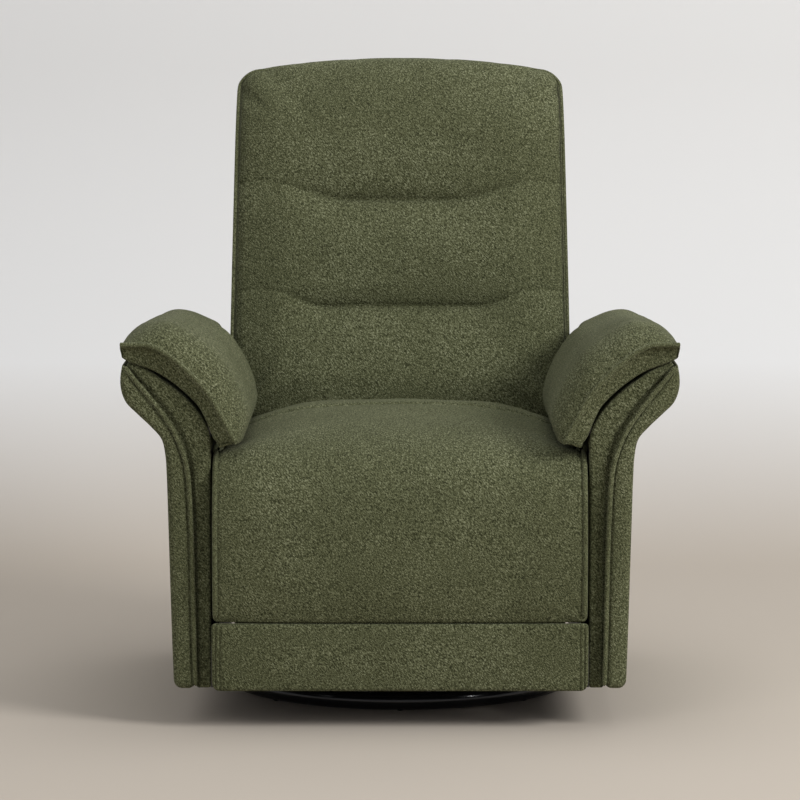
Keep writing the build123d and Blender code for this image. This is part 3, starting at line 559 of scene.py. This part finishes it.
def backTop(x):
    # crowned upper edge with round corners: a power curve, less what a quarter circle takes off
    fall = backShape["crown"] * (np.abs(x) / backShape["crownReach"]) ** backShape["crownPower"]
    return backShape["height"] - fall - cornerFall(x, backShape["halfTop"], backShape["corner"])


def backFace(x, height):
    # how far the face falls back: towards its sides, and in an elliptic roll towards the top, which ends
    # just short of lying level
    start, deep = backShape["topRoll"]
    over = np.clip((height - backShape["height"] + start) / start, 0, 1)
    belly = backShape["belly"] * np.clip(np.abs(x) / backWidth(height), 0, 1) ** backShape["bellyPower"]
    return belly + deep * (1 - np.sqrt(1 - 0.995 * over**2))


def backBlock(share, depth, radius, lip):
    # rounded block fitted to the back's outline: width by height, height by distance from the middle
    halfWidths, sideRadius, gather = 2.0, 0.05, 0.6
    size = (halfWidths, depth, backShape["height"])
    block = roundedBlock(share, size, (sideRadius, radius, radius), gather)
    half = backWidth(block[:, 2]) - lip(block[:, 1])
    x = (block[:, 0] - halfWidths / 2) * half
    return x, block[:, 1], block[:, 2]


def cushionPlace(share):
    # the block with its face rolled back, its top crowned and its boxing standing out behind the piping
    deep, edge = backShape["depth"], backShape["edgeDepth"]
    lip = lambda depth: backShape["lip"] * (1 - smoothStep(depth, edge, edge + backShape["lipDepth"]))
    x, depth, height = backBlock(share, deep, backShape["edge"], lip)
    face = backFace(x, height)
    behind = face + depth * (deep - face) / deep
    return np.stack([x, behind, height / backShape["height"] * backTop(x)], axis=1)


def backFolds(x, height):
    # channels: a short steep slope above each seam and a longer one below it, deep in the middle of the
    # back and only a stitched line at the sides
    total = np.zeros_like(x)
    startsIn, endsIn = backShape["foldEnds"]
    softShare, softReach = backShape["foldSoft"]
    for level, rise, start, end in backShape["seams"]:
        gap = height - level - rise * smoothStep(np.abs(x), start, end)
        middle = 1 - smoothStep(np.abs(x), start - startsIn, end - endsIn)
        fold = backShape["fold"][0] * middle + backShape["fold"][1]
        steep = np.exp(-np.abs(gap) / np.where(gap > 0, *backShape["foldReach"]))
        total += fold * ((1 - softShare) * steep + softShare * bell(gap, softReach))
        stitch = backShape["stitch"][0] * middle + backShape["stitch"][1]
        total += stitch * bell(gap, backShape["stitchHalf"])
    return total


def makeBackCushion():
    # the cushion's block blown up, then pressed in along its channels and a little all over its face
    share, quads = shellLattice((100, 22, 300))
    moves = blown(cushionPlace, (44, 10, 50), lambda at: at[:, 1] > 0.35, backShape["blownCap"])
    points = cushionPlace(share) + moves(share) * backShape["blown"]
    front = 1 - smoothStep(share[:, 1], 0.0, 0.45)
    pressed = backFolds(points[:, 0], points[:, 2]) + ripple(points, *backShape["wrinkles"])
    points[:, 1] += front * (pressed + backShape["sink"])
    return points, quads


cushionPoints, cushionQuads = makeBackCushion()
backCushion = addPiece("backCushion", leanBack(cushionPoints), cushionQuads, greenFabric)
dress(backCushion, "back")
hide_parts("back_cushion")


backPipingShape = {
    "points": 260,
    "radius": 3.0,
    "foot": 4.0,
    "inset": 1.0,  # how far it stands out from the front panel's edge
    "belowCorner": 6.0,
    "belowTop": 5.5,
    "hidden": (150.0, 287.0),  # over the top it is hidden up to the first x, and in view past the second
    "hiddenAbove": 500.0,
    "hiddenBack": 14.0,  # how far back and down it lies there
    "hiddenDown": 9.0,
}


def backEdge():
    # the cushion's front edge from foot to foot over the top, which drops out of sight behind the roll
    look, count = backPipingShape, backPipingShape["points"]
    full, lip, edge = backShape["height"], backShape["lip"] - look["inset"], backShape["edgeDepth"]
    upTo = full - backShape["crown"] - backShape["corner"] - look["belowCorner"]
    height = np.linspace(look["foot"], upTo, count)
    left = np.stack([lip - backWidth(height), height], axis=1)
    x = np.linspace(lip - backShape["halfTop"], backShape["halfTop"] - lip, 3 * count)
    top = np.stack([x, backTop(x) - look["belowTop"]], axis=1)
    x, height = evenSteps(np.vstack([left, top, left[::-1] * [-1, 1]]), count).T
    face = backFace(x, height * full / backTop(x))
    hidden = (height > look["hiddenAbove"]) * (1 - smoothStep(np.abs(x), *look["hidden"]))
    depth = face + edge * (backShape["depth"] - face) / backShape["depth"] + look["hiddenBack"] * hidden
    return leanBack(np.stack([x, depth, height - look["hiddenDown"] * hidden], axis=1))


leanNormal = np.array([0.0, cos(radians(backShape["lean"])), -sin(radians(backShape["lean"]))])
pipingParts = sweep(backEdge(), backPipingShape["radius"], leanNormal)
backPiping = addPiece("backPiping", *pipingParts, greenPiping)
dress(backPiping, "back")


coverShape = {
    "depth": 73.0,
    "forward": 34.0,  # how far its block reaches in front of the cushion's rear, and where the shell is cut
    "cut": -11.0,
    "edge": 22.0,
    "inset": 1.2,
    "wall": 5.0,
    "fullness": 5.0,  # how much the rear stands out in its middle
    "fullDepths": (30.0, 70.0),  # the depths between which it comes out
}
flapShape = {"size": (524.0, 6.0, 90.0), "edge": 2.8, "behind": 66.0, "foot": -44.0}


def makeBackCover():
    # open shell behind the cushion, its rear a little fuller in the middle
    share, quads = shellLattice((60, 32, 90))
    blockDepth = coverShape["depth"] + coverShape["forward"]
    x, depth, height = backBlock(share, blockDepth, coverShape["edge"], lambda depth: coverShape["inset"])
    depth = depth - coverShape["forward"]
    underside = share[quads][:, :, 2].mean(axis=1) < 0.005
    openSides = (depth[quads].mean(axis=1) < coverShape["cut"]) | underside
    across, upward = np.abs(x) / backShape["halfFoot"], np.clip(height / backShape["height"], 0, 1)
    full = smoothStep(depth, *coverShape["fullDepths"]) * (1 - across**2) * np.sin(upward * pi)
    rear = depth > coverShape["fullDepths"][0]
    behind = backShape["depth"] + depth - coverShape["fullness"] * (1 - full) * rear
    return np.stack([x, behind, height / backShape["height"] * backTop(x)], axis=1), quads[~openSides]


coverPoints, coverQuads = makeBackCover()
backCover = addPiece("backCover", leanBack(coverPoints), coverQuads, greenFabric)
wall = backCover.modifiers.new("wall", "SOLIDIFY")
wall.thickness, wall.offset = coverShape["wall"] / mm, -1.0
flapPoints, flapQuads = roundedBox(flapShape["size"], flapShape["edge"], (40, 4, 16))
flapDepth = backShape["depth"] + flapShape["behind"]
flapPoints += np.array([-flapShape["size"][0] / 2, flapDepth, flapShape["foot"]])
backFlap = addPiece("backFlap", leanBack(flapPoints), flapQuads, greenFabric)
for piece in (backCover, backFlap):
    dress(piece, "back")
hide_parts("back_cover")
print("back made")


seatShape = {
    "half": 300.0,
    "edge": 12.0,
    "deep": 92.0,
    "stations": (  # (y, z) on the cover and under it, from the rear edge over the nose to the footrest's foot
        ((96.0, 440.0), (95.0, 367.0)),
        ((86.0, 468.0), (70.0, 367.0)),
        ((50.0, 478.5), (30.0, 367.0)),
        ((-40.0, 482.0), (-50.0, 367.0)),
        ((-190.0, 479.0), (-180.0, 367.0)),
        ((-310.0, 471.0), (-285.0, 367.0)),
        ((-398.0, 448.0), (-362.0, 371.0)),
        ((-446.0, 405.0), (-402.0, 366.0)),
        ((-465.0, 348.0), (-411.0, 335.0)),
        ((-471.0, 280.0), (-411.0, 275.0)),
        ((-469.0, 220.0), (-412.0, 222.0)),
        ((-461.0, 172.0), (-424.0, 183.0)),
    ),
    "sideDrop": (3.0, 56.0),  # how much lower the sides are at the nose and on the seat
    "dropPlaces": (-432.0, -258.0),  # the places along Y between which that changes
    "dropPower": 3.6,
    "footrestStart": (0.60, 0.76),  # shares of the cover's length between which the seat's form ends
    "footrestBow": 8.0,  # how far the footrest's face falls back at its sides
    "groove": (290.4, 2.8, 2.2),  # beside each welt: distance from the middle, depth and half the width
    "rearSeam": 176.0,  # distance along the cover from its rear edge
    "rearSeamDepth": 4.6,
    "rearSeamReach": (24.0, 4.0),  # how far it dips in front of it and behind it
    "rearSeamHalf": 289.0,
    "sink": 2.0,  # the cover lies this much inside its outline, for the blown cloth to fill
    "wrinkles": (1.6, 170.0, 8),  # height, length and seed
    "blown": (0.0, 0.3, 0.3),  # how much of the cloth's moves is used along each axis
    "blownCap": 24.0,
}
coverLength = pathLength(smoothCurve([s[0] for s in seatShape["stations"]], 400))


def coverPlace(x, along, deep):
    # a point between the outer and the inner line, lowered towards the sides and bowed on the footrest
    share = along / coverLength
    outer, inner = pairedPath(seatShape["stations"], share)
    place = outer + (inner - outer) * deep[:, None]
    side = np.clip(np.abs(x) / seatShape["half"], 0, 1)
    onNose, onSeat = seatShape["sideDrop"]
    drop = onNose + (onSeat - onNose) * smoothStep(outer[:, 0], *seatShape["dropPlaces"])
    seatPart = 1 - smoothStep(share, *seatShape["footrestStart"])
    z = place[:, 1] - drop * side ** seatShape["dropPower"] * seatPart * (1 - deep)
    y = place[:, 0] + seatShape["footrestBow"] * side**4 * (1 - seatPart) * (1 - deep)
    return np.stack([x, y, z], axis=1)


def chaiseParts(share):
    # rounded block as distance from the middle, distance along the cover and share of its depth
    size = (2 * seatShape["half"], coverLength, seatShape["deep"])
    block = roundedBlock(share, size, seatShape["edge"])
    return block[:, 0] - seatShape["half"], block[:, 1], block[:, 2] / seatShape["deep"]


def chaisePlace(share):
    # the plain cushion that the cloth is blown up in
    return coverPlace(*chaiseParts(share))


def makeChaise():
    # the cushion with grooves beside its welts, a dip along its rear seam and a soft unevenness, blown up
    share, quads = shellLattice((120, 270, 10))
    x, along, deep = chaiseParts(share)
    upper = 1 - smoothStep(deep, 0.0, 0.4)
    groovePlace, grooveDepth, grooveHalf = seatShape["groove"]
    groove = grooveDepth * bell(np.abs(x) - groovePlace, grooveHalf)
    past, (before, behind) = along - seatShape["rearSeam"], seatShape["rearSeamReach"]
    dip = np.where(past > 0, np.exp(-past / before), np.exp(past / behind))
    rearSeam = seatShape["rearSeamDepth"] * dip * (np.abs(x) < seatShape["rearSeamHalf"])
    calm = 1 - (np.abs(x) / seatShape["half"]) ** 6
    soft = ripple(np.stack([x, along, 0 * x], axis=1), *seatShape["wrinkles"]) * calm
    pressed = groove + rearSeam - soft + seatShape["sink"] * calm
    points = coverPlace(x, along, deep + upper * pressed / seatShape["deep"])
    moves = blown(chaisePlace, (46, 76, 6), lambda at: at[:, 2] > 0.3, seatShape["blownCap"])
    return points + moves(share) * seatShape["blown"], quads[:, ::-1]


weltShape = {
    "points": 260,
    "ends": (0.03, 0.988),  # shares of the cover's length
    "place": 295.4,  # distance from the middle
    "radius": 4.2,
    "sunk": 0.02,  # share of the cushion's depth by which it is sunk
}


def chaiseWelt(side):
    # piping along one side of the cover
    count = weltShape["points"]
    along = np.linspace(*weltShape["ends"], count) * coverLength
    line = coverPlace(np.full(count, side * weltShape["place"]), along, np.full(count, weltShape["sunk"]))
    return sweep(line, weltShape["radius"], (1, 0, 0))


chaise = addPiece("chaiseCushion", *makeChaise(), greenFabric)
chaiseWelts = addPiece("chaiseWelts", *joined([chaiseWelt(-1), chaiseWelt(1)]), greenPiping)
for piece in (chaise, chaiseWelts):
    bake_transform(piece)
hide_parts("seat_cushion", "footrest_pad")
print("seat and footrest made")


armShape = {
    "front": -440.0,
    "rear": 312.0,
    "recess": 11.0,  # the inner facing lies this far behind the outer band
    "band": (36.0, 13.0, 1.2),  # thickness, radius of the edges, and depth of the groove beside the piping
    "facing": (30.0, 6.0, 5.0),
    "groove": (4.0, 3.0),  # distance from the piping line, and half the width
    "pipingRadius": 3.9,
    "pipingInset": 1.0,  # from the front and rear of the band
    "wrinkles": (0.9, 220.0, 5),  # height, length and seed, on the band's outer face
    # (x, z) on the outline, on the piping, and on the inner face or the top, from the foot to the tip
    "stations": (
        ((363.5, 63.5), (328.0, 63.5), (303.0, 63.5)),
        ((366.0, 145.0), (330.0, 136.0), (303.0, 136.0)),
        ((368.5, 235.0), (331.5, 219.0), (303.0, 219.0)),
        ((371.0, 330.0), (333.0, 301.0), (303.0, 301.0)),
        ((373.0, 405.0), (336.0, 374.0), (303.0, 385.0)),
        ((375.0, 440.0), (340.0, 420.0), (303.0, 440.0)),
        ((381.0, 467.0), (350.0, 455.0), (305.0, 478.0)),
        ((398.0, 487.0), (363.0, 484.0), (323.0, 511.0)),
        ((420.0, 508.0), (382.0, 513.0), (349.0, 539.0)),
        ((438.0, 527.0), (404.0, 541.0), (376.0, 560.0)),
        ((446.0, 553.0), (424.0, 565.0), (403.0, 578.0)),
        ((444.0, 587.0), (438.0, 585.0), (430.0, 590.0)),
    ),
}
pocketShape = {  # where the left arm's outer face is open for the release cup
    "centre": (-180.0, 330.0),  # y and z
    "half": (45.0, 35.5),
    "padding": 3.2,  # how far the face comes out round it, to meet the cup's flange
    "paddingReach": (80.0, 70.0),
    "face": 350.0,  # the outer face is what lies beyond this
}


def armBlock(edge, front, rear, width, radius, grooveDepth):
    # block whose length runs up the arm, from the piping line out to the line `edge` of the stations
    lines = [(s[1], s[edge]) for s in armShape["stations"]]
    length = pathLength(smoothCurve([s[0] for s in lines], 300))
    points, quads = roundedBox((width, rear - front, length), radius, (22, 140, 130))
    out, back, up = points.T
    near, far = pairedPath(lines, up / length)
    place = near + (far - near) * (out / width)[:, None]
    solid = np.stack([place[:, 0], back + front, place[:, 1]], axis=1)
    groovePlace, grooveHalf = armShape["groove"]
    atEnd = np.minimum(back, rear - front - back) < 3.0
    groove = grooveDepth * bell(out - groovePlace, grooveHalf) * atEnd
    solid[:, 1] += groove * np.where(back < (rear - front) / 2, 1, -1)
    if edge == 0:
        solid[:, 0] += ripple(solid, *armShape["wrinkles"]) * (out > 0.9 * width)
    return solid, quads


def openPocket(points, quads):
    # the outer face comes out in a flat hump round the release cup, and is open in front of it
    (cupY, cupZ), (reachY, reachZ) = pocketShape["centre"], pocketShape["paddingReach"]
    hump = np.exp(-(((points[:, 1] - cupY) / reachY) ** 4) - ((points[:, 2] - cupZ) / reachZ) ** 4)
    points[:, 0] += pocketShape["padding"] * hump * (points[:, 0] > pocketShape["face"])
    x, y, z = points[quads].mean(axis=1).T
    halfY, halfZ = pocketShape["half"]
    pocket = (np.abs(y - cupY) < halfY) & (np.abs(z - cupZ) < halfZ) & (x > pocketShape["face"])
    return points, quads[~pocket]


def armPiping(y):
    # piping up the arm in the plane y
    lines = [(s[1], s[1]) for s in armShape["stations"]]
    line, _ = pairedPath(lines, np.linspace(0.01, 1.0, 200))
    path = np.stack([line[:, 0], np.full(len(line), y), line[:, 1]], axis=1)
    return sweep(path, armShape["pipingRadius"], (0, 1, 0))


def makeArm(side, name):
    # outer band, inner facing set back from it, and piping between them in front and behind
    front, rear, recess, inset = [armShape[key] for key in ("front", "rear", "recess", "pipingInset")]
    band = armBlock(0, front, rear, *armShape["band"])
    if side < 0:
        band = openPocket(*band)
    facing, facingQuads = armBlock(2, front + recess, rear - recess, *armShape["facing"])
    piping = joined([armPiping(front + inset), armPiping(rear - inset)])
    panel = addPiece(f"armPanel{name}", *onSide(side, band), greenFabric)
    inner = addPiece(f"armFacing{name}", *onSide(side, (facing, facingQuads[:, ::-1])), greenFabric)
    edging = addPiece(f"armPiping{name}", *onSide(side, piping), greenPiping)
    for piece in (panel, inner, edging):
        dress(piece, "chair_frame")
    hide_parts(f"arm_cover_{name.lower()}")


for side, name in bothSides:
    makeArm(side, name)
print("arms made")


padShape = {
    "front": -452.0,
    "rear": 200.0,
    "frontBulge": (95.0, 2.2, 0.7),  # how far behind the seam it is full, and the powers of its curve
    "rearBulge": (60.0, 2.0, 0.4),
    "crownPlaces": (-300.0, 150.0),  # the places along Y where the two crown lines below hold
    "least": 12.0,  # least thickness
    "besideBack": (30.0, 106.0),  # the places along Y between which the pad draws in to the arm
    "drawnIn": (256.0, 301.0, 330.0),  # what lies at the first x moves to the second, past the third it stays
    "size": (290.0, 80.0),  # length round the section and thickness, before it is bent
    "edge": 7.0,
    "boxingInset": 4.0,  # the front boxing lies behind its piping and leans back under it
    "boxingLean": (18.0, 90.0),  # by how much at its foot, and over what length
    "pipingRadius": 4.0,
    "pipingInset": 2.0,
    "pipingHollow": (3.0, 7.0, 4.0),  # behind the piping: depth, distance from the front and half the width
    "sink": 2.0,
    "wrinkles": (1.8, 120.0, 12),
    "blown": (0.25, 0.0, 0.25),
    "blownCap": 22.0,
    # (x, z) under the pad, on its front seam, and on its crown in front and behind, from tip to inner end
    "stations": (
        ((443.0, 597.0), (445.0, 620.0), (446.0, 621.0), (445.0, 597.0)),
        ((428.0, 589.0), (436.0, 620.0), (435.0, 635.0), (436.0, 609.0)),
        ((410.0, 583.0), (415.0, 620.0), (417.0, 648.0), (417.0, 622.0)),
        ((392.0, 576.0), (396.0, 618.0), (394.0, 655.0), (391.0, 630.0)),
        ((370.0, 563.0), (369.0, 604.0), (366.0, 655.0), (361.0, 628.0)),
        ((348.0, 546.0), (337.0, 577.0), (332.0, 638.0), (330.0, 616.0)),
        ((323.0, 521.0), (307.0, 545.0), (290.0, 606.0), (289.0, 596.0)),
        ((310.0, 497.0), (286.0, 509.0), (257.0, 556.0), (254.0, 543.0)),
        ((299.0, 470.0), (268.0, 475.0), (239.0, 504.0), (240.0, 490.0)),
        ((291.0, 460.0), (263.0, 463.0), (249.0, 464.0), (246.0, 460.0)),
    ),
}


def padCurves(share):
    # the underside, the front seam and the two crown lines, all at the same shares of the underside's length
    lines = [pairedPath([(s[0], s[n]) for s in padShape["stations"]], share) for n in (1, 2, 3)]
    return lines[0][0], lines[0][1], lines[1][1], lines[2][1]


def padSkin(share, y, high):
    # between the underside and the top, whose height swells from the seam line behind both ends
    under, seam, crownFront, crownRear = padCurves(share)
    first, last = padShape["crownPlaces"]
    fall = (crownRear - crownFront) * np.clip((y - first) / (last - first), 0, 1)[:, None]
    crown, seam = crownFront + fall, seam + fall
    highest = np.maximum(crown[:, 1], seam[:, 1])
    under = np.stack([under[:, 0], np.minimum(under[:, 1], highest - padShape["least"])], axis=1)
    rise = 1.0
    for distance, bulge in ((y - padShape["front"], "frontBulge"), (padShape["rear"] - y, "rearBulge")):
        reach, power, root = padShape[bulge]
        rise = rise * (1 - (1 - np.clip(distance / reach, 0, 1)) ** power) ** root
    top = seam + (crown - seam) * rise[:, None]
    place = under + (top - under) * high[:, None]
    inner, clear, stays = padShape["drawnIn"]
    drawn = clear + (stays - clear) * np.clip((place[:, 0] - inner) / (stays - inner), 0.0, 1.0) ** 2.2
    x = place[:, 0] + np.maximum(drawn - place[:, 0], 0.0) * smoothStep(y, *padShape["besideBack"])
    return np.stack([x, y, place[:, 1]], axis=1)


def padPlace(share):
    # rounded block bent over the arm
    length, thick = padShape["size"]
    block = roundedBlock(share, (length, padShape["rear"] - padShape["front"], thick), padShape["edge"])
    return padSkin(block[:, 0] / length, block[:, 1] + padShape["front"], block[:, 2] / thick)


def makePad():
    # the bent block with its boxing set back, a hollow behind the piping and a soft unevenness, blown up
    share, quads = shellLattice((110, 150, 20))
    points, front = padPlace(share), padShape["front"]
    onFront = (share[:, 1] < 1e-6) * np.sin(pi * np.clip(share[:, 2], 0, 1)) ** 0.6
    points[:, 1] += padShape["boxingInset"] * onFront
    lean, leanReach = padShape["boxingLean"]
    points[:, 1] += lean * (1 - share[:, 2]) * (1 - smoothStep(points[:, 1], front, front + leanReach))
    hollowDepth, hollowPlace, hollowHalf = padShape["pipingHollow"]
    hollow = hollowDepth * bell(points[:, 1] - front - hollowPlace, hollowHalf)
    top = smoothStep(share[:, 2], 0.6, 1.0)
    points[:, 2] += top * (ripple(points, *padShape["wrinkles"]) - hollow - padShape["sink"])
    moves = blown(padPlace, (44, 56, 8), lambda at: at[:, 2] < 0.4, padShape["blownCap"])
    return points + moves(share) * padShape["blown"], quads[:, ::-1]


def padPiping():
    # piping along the front seam
    seam = padCurves(np.linspace(0.0, 0.99, 180))[1]
    y = np.full(len(seam), padShape["front"] + padShape["pipingInset"])
    path = np.stack([seam[:, 0], y, seam[:, 1]], axis=1)
    return sweep(path, padShape["pipingRadius"], (0, 1, 0))


padParts, padPipingParts = makePad(), padPiping()
for side, name in bothSides:
    pad = addPiece(f"armPad{name}", *onSide(side, padParts), greenFabric)
    edging = addPiece(f"armPadPiping{name}", *onSide(side, padPipingParts), greenPiping)
    for piece in (pad, edging):
        dress(piece, "chair_frame")
    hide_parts(f"arm_pad_{name.lower()}")
print("arm pads made")


panelShape = {
    "half": 301.5,
    "raised": 2.0,  # above the plain panel's upper edge
    "edge": 6.5,
    "corner": 13.0,
    "puff": 4.0,
    "grooves": (295.0, 288.0),  # distances of the two stitched lines from the middle
    "groove": (3.4, 1.7),  # their depth and half their width
    "wrinkles": (0.9, 120.0, 21),
}
skirtEdge = 5.0


def makeFrontPanel():
    # rounded block with round lower corners, a puffed face and two stitched lines near each side
    low, high = boxOf("front_panel")
    low[0], high[0] = -panelShape["half"], panelShape["half"]
    high[2] += panelShape["raised"]
    size = high - low
    points, quads = roundedBox(size, panelShape["edge"], (150, 10, 50))
    x = points[:, 0] + low[0]
    lift = cornerFall(x, high[0], panelShape["corner"])
    z = high[2] - (size[2] - points[:, 2]) * (size[2] - lift) / size[2]
    face = 1 - smoothStep(points[:, 1], 0.0, 8.0)
    upright = np.sin(np.clip(points[:, 2] / size[2], 0, 1) * pi) ** 0.6
    puff = panelShape["puff"] * np.clip(1 - (np.abs(x) / high[0]) ** 6, 0, 1) * upright
    depth, half = panelShape["groove"]
    grooves = sum(depth * bell(np.abs(x) - place, half) for place in panelShape["grooves"])
    y = low[1] + points[:, 1] + face * (grooves - puff + ripple(points, *panelShape["wrinkles"]))
    return np.stack([x, y, z], axis=1), quads


frontPanel = addPiece("frontPanel", *makeFrontPanel(), greenFabric)
low, high = boxOf("rear_skirt")
skirtPoints, skirtQuads = roundedBox(high - low, skirtEdge, (60, 8, 30))
rearSkirt = addPiece("rearSkirt", skirtPoints + low, skirtQuads, greenFabric)
for piece in (frontPanel, rearSkirt):
    dress(piece, "chair_frame")
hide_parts("front_panel")
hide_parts("rear_skirt")
print("lower panels made")


def turned(profile, steps, centre=(0.0, 0.0), closed=False):
    # outline of (distance from the axis, height) turned about an upright axis
    profile = np.asarray(profile, float)
    rows = len(profile)
    angle = np.arange(steps) * 2 * pi / steps
    x = profile[None, :, 0] * np.cos(angle)[:, None] + centre[0]
    y = profile[None, :, 0] * np.sin(angle)[:, None] + centre[1]
    z = np.broadcast_to(profile[None, :, 1], x.shape)
    i, j = np.meshgrid(np.arange(steps), np.arange(rows if closed else rows - 1), indexing="ij")
    nextI, nextJ = (i + 1) % steps, (j + 1) % rows
    quads = np.stack([i * rows + j, nextI * rows + j, nextI * rows + nextJ, i * rows + nextJ], axis=-1)
    return np.stack([x, y, z], axis=-1).reshape(-1, 3), quads.reshape(-1, 4)


ringLow, ringHigh = boxOf("base_ring")
tubeRadius = (ringHigh[2] - ringLow[2]) / 2
ringRadius = ringHigh[0] - tubeRadius
ringShape = {"fuller": 2.5, "lower": 4.0, "sides": 28, "steps": 160}  # fuller and lower than the plain ring
glideShape = {
    "count": 8,
    "radius": 7.0,
    "dome": 3.0,
    "neck": 0.7,  # share of the radius
    "neckEnds": (-2.0, 4.0),  # from the top of the plain glides
    "steps": 20,
}


def makeRing():
    # circle turned about the swivel axis
    around = np.arange(ringShape["sides"]) * 2 * pi / ringShape["sides"]
    fuller, centreZ = tubeRadius + ringShape["fuller"], ringLow[2] + tubeRadius - ringShape["lower"]
    section = np.stack([ringRadius + fuller * np.cos(around), centreZ + fuller * np.sin(around)], axis=1)
    return turned(section, ringShape["steps"], closed=True)


def makeGlides():
    # small domed feet with a neck pressed a little into the tube, spread evenly round the ring
    radius, dome, count = glideShape["radius"], glideShape["dome"], glideShape["count"]
    top = boxOf("base_glides")[1][2]
    profile = [[radius * np.sin(a), dome - dome * np.cos(a)] for a in np.linspace(0.02, pi / 2, 8)]
    profile += [[radius * glideShape["neck"], top + above] for above in glideShape["neckEnds"]]
    places = [(ringRadius * cos(a), ringRadius * sin(a)) for a in [2 * pi * n / count for n in range(count)]]
    return joined([turned(profile, glideShape["steps"], place) for place in places])


floorRing = addPiece("floorRing", *makeRing(), blackEnamel)
dress(floorRing, "base")
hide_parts("base_ring")
floorGlides = addPiece("floorGlides", *makeGlides(), blackPlastic)
dress(floorGlides, "base")
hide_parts("base_glides")
print("ring and glides made")


# every CAD node that still shows gets the finish of its slot, except the frame pieces seen in the gaps, whose
# darker timber is painted shade
for part in frame["record"]["subparts"]:
    node = bpy.data.objects.get(part["node"])
    if node is not None and node.data.materials:
        finish = gapShadeTimber if part["node"] in gapShadeNodes else slotFinish[part["material_slot"]]
        for number in range(len(node.data.materials)):
            node.data.materials[number] = finish


stageLook = {"floor": (0.46, 0.41, 0.35), "wall": (0.70, 0.70, 0.695), "wallY": 2.2, "bend": 1.0}


def makeStage():
    # floor that curves up into the backdrop: a line along Y, a quarter circle and a line up, swept along X
    bend, wallY = stageLook["bend"], stageLook["wallY"]
    arc = np.linspace(0, pi / 2, 24)
    line = np.concatenate([
        [[-9.0, 0.0]],
        np.stack([wallY - bend + bend * np.sin(arc), bend - bend * np.cos(arc)], axis=1),
        [[wallY, 7.0]],
    ])
    rows = len(line)
    points = np.concatenate([np.column_stack([np.full(rows, x), line]) for x in (-9.0, 9.0)]) * mm
    i = np.arange(rows - 1)
    quads = np.stack([i, i + rows, i + rows + 1, i + 1], axis=1)
    material, tree, shader = newMaterial("backdrop", {"Roughness": 0.9, "Specular IOR Level": 0.2})
    height = addNode(tree, "ShaderNodeSeparateXYZ", {"Vector": objectPlace(tree)}).outputs["Z"]
    upward = mapped(tree, height, 0.0, 0.35)
    colour = mixColours(tree, upward, (*stageLook["floor"], 1), (*stageLook["wall"], 1))
    connect(tree, shader, {"Base Color": colour})
    # its outer side is clear, so that the rear of the chair can be looked at through it
    clear = addNode(tree, "ShaderNodeBsdfTransparent", {}).outputs[0]
    backs = addNode(tree, "ShaderNodeNewGeometry", {}).outputs["Backfacing"]
    oneSided = addNode(tree, "ShaderNodeMixShader", {0: backs, 1: shader.outputs[0], 2: clear}).outputs[0]
    connect(tree, tree.nodes["Material Output"], {"Surface": oneSided})
    return addPiece("studioFloor", points, quads, material)


makeStage()


lamps = {  # place, what it points at, width and power
    "keyLight": ((3.9, -2.8, 3.1), (0, 0, 0.9), 2.2, 232.0),
    "fillLight": ((-2.4, -4.1, 2.9), (0, 0, 0.7), 3.4, 60.0),
    "topLight": ((0.2, 0.3, 4.2), (0, 0, 0.5), 2.6, 42.0),
}
surroundLook = {"Color": (0.92, 0.92, 0.95, 1.0), "Strength": 0.45}


def addLight(name, place, target, size, power):
    # round area light turned towards its target
    data = bpy.data.lights.new(name, "AREA")
    data.shape, data.size, data.energy = "DISK", size, power
    light = bpy.data.objects.new(name, data)
    light.location = place
    light.rotation_euler = (Vector(target) - Vector(place)).to_track_quat("-Z", "Y").to_euler()
    bpy.context.scene.collection.objects.link(light)


for name, facts in lamps.items():
    addLight(name, *facts)

world = bpy.data.worlds.new("studio")
world.use_nodes = True
bpy.context.scene.world = world
connect(world.node_tree, world.node_tree.nodes["Background"], surroundLook)

cameraView = {"place": (0.0, -6.47, 1.2), "down": 6.33, "lens": 171.5, "clipEnd": 60.0}
cameraData = bpy.data.cameras.new("camera")
cameraData.lens = cameraView["lens"]
cameraData.clip_end = cameraView["clipEnd"]
camera = bpy.data.objects.new("camera", cameraData)
camera.location = cameraView["place"]
camera.rotation_euler = (radians(90.0 - cameraView["down"]), 0.0, 0.0)
bpy.context.scene.collection.objects.link(camera)
bpy.context.scene.camera = camera
bpy.context.scene.view_settings.view_transform = "Standard"
print("light and camera set")
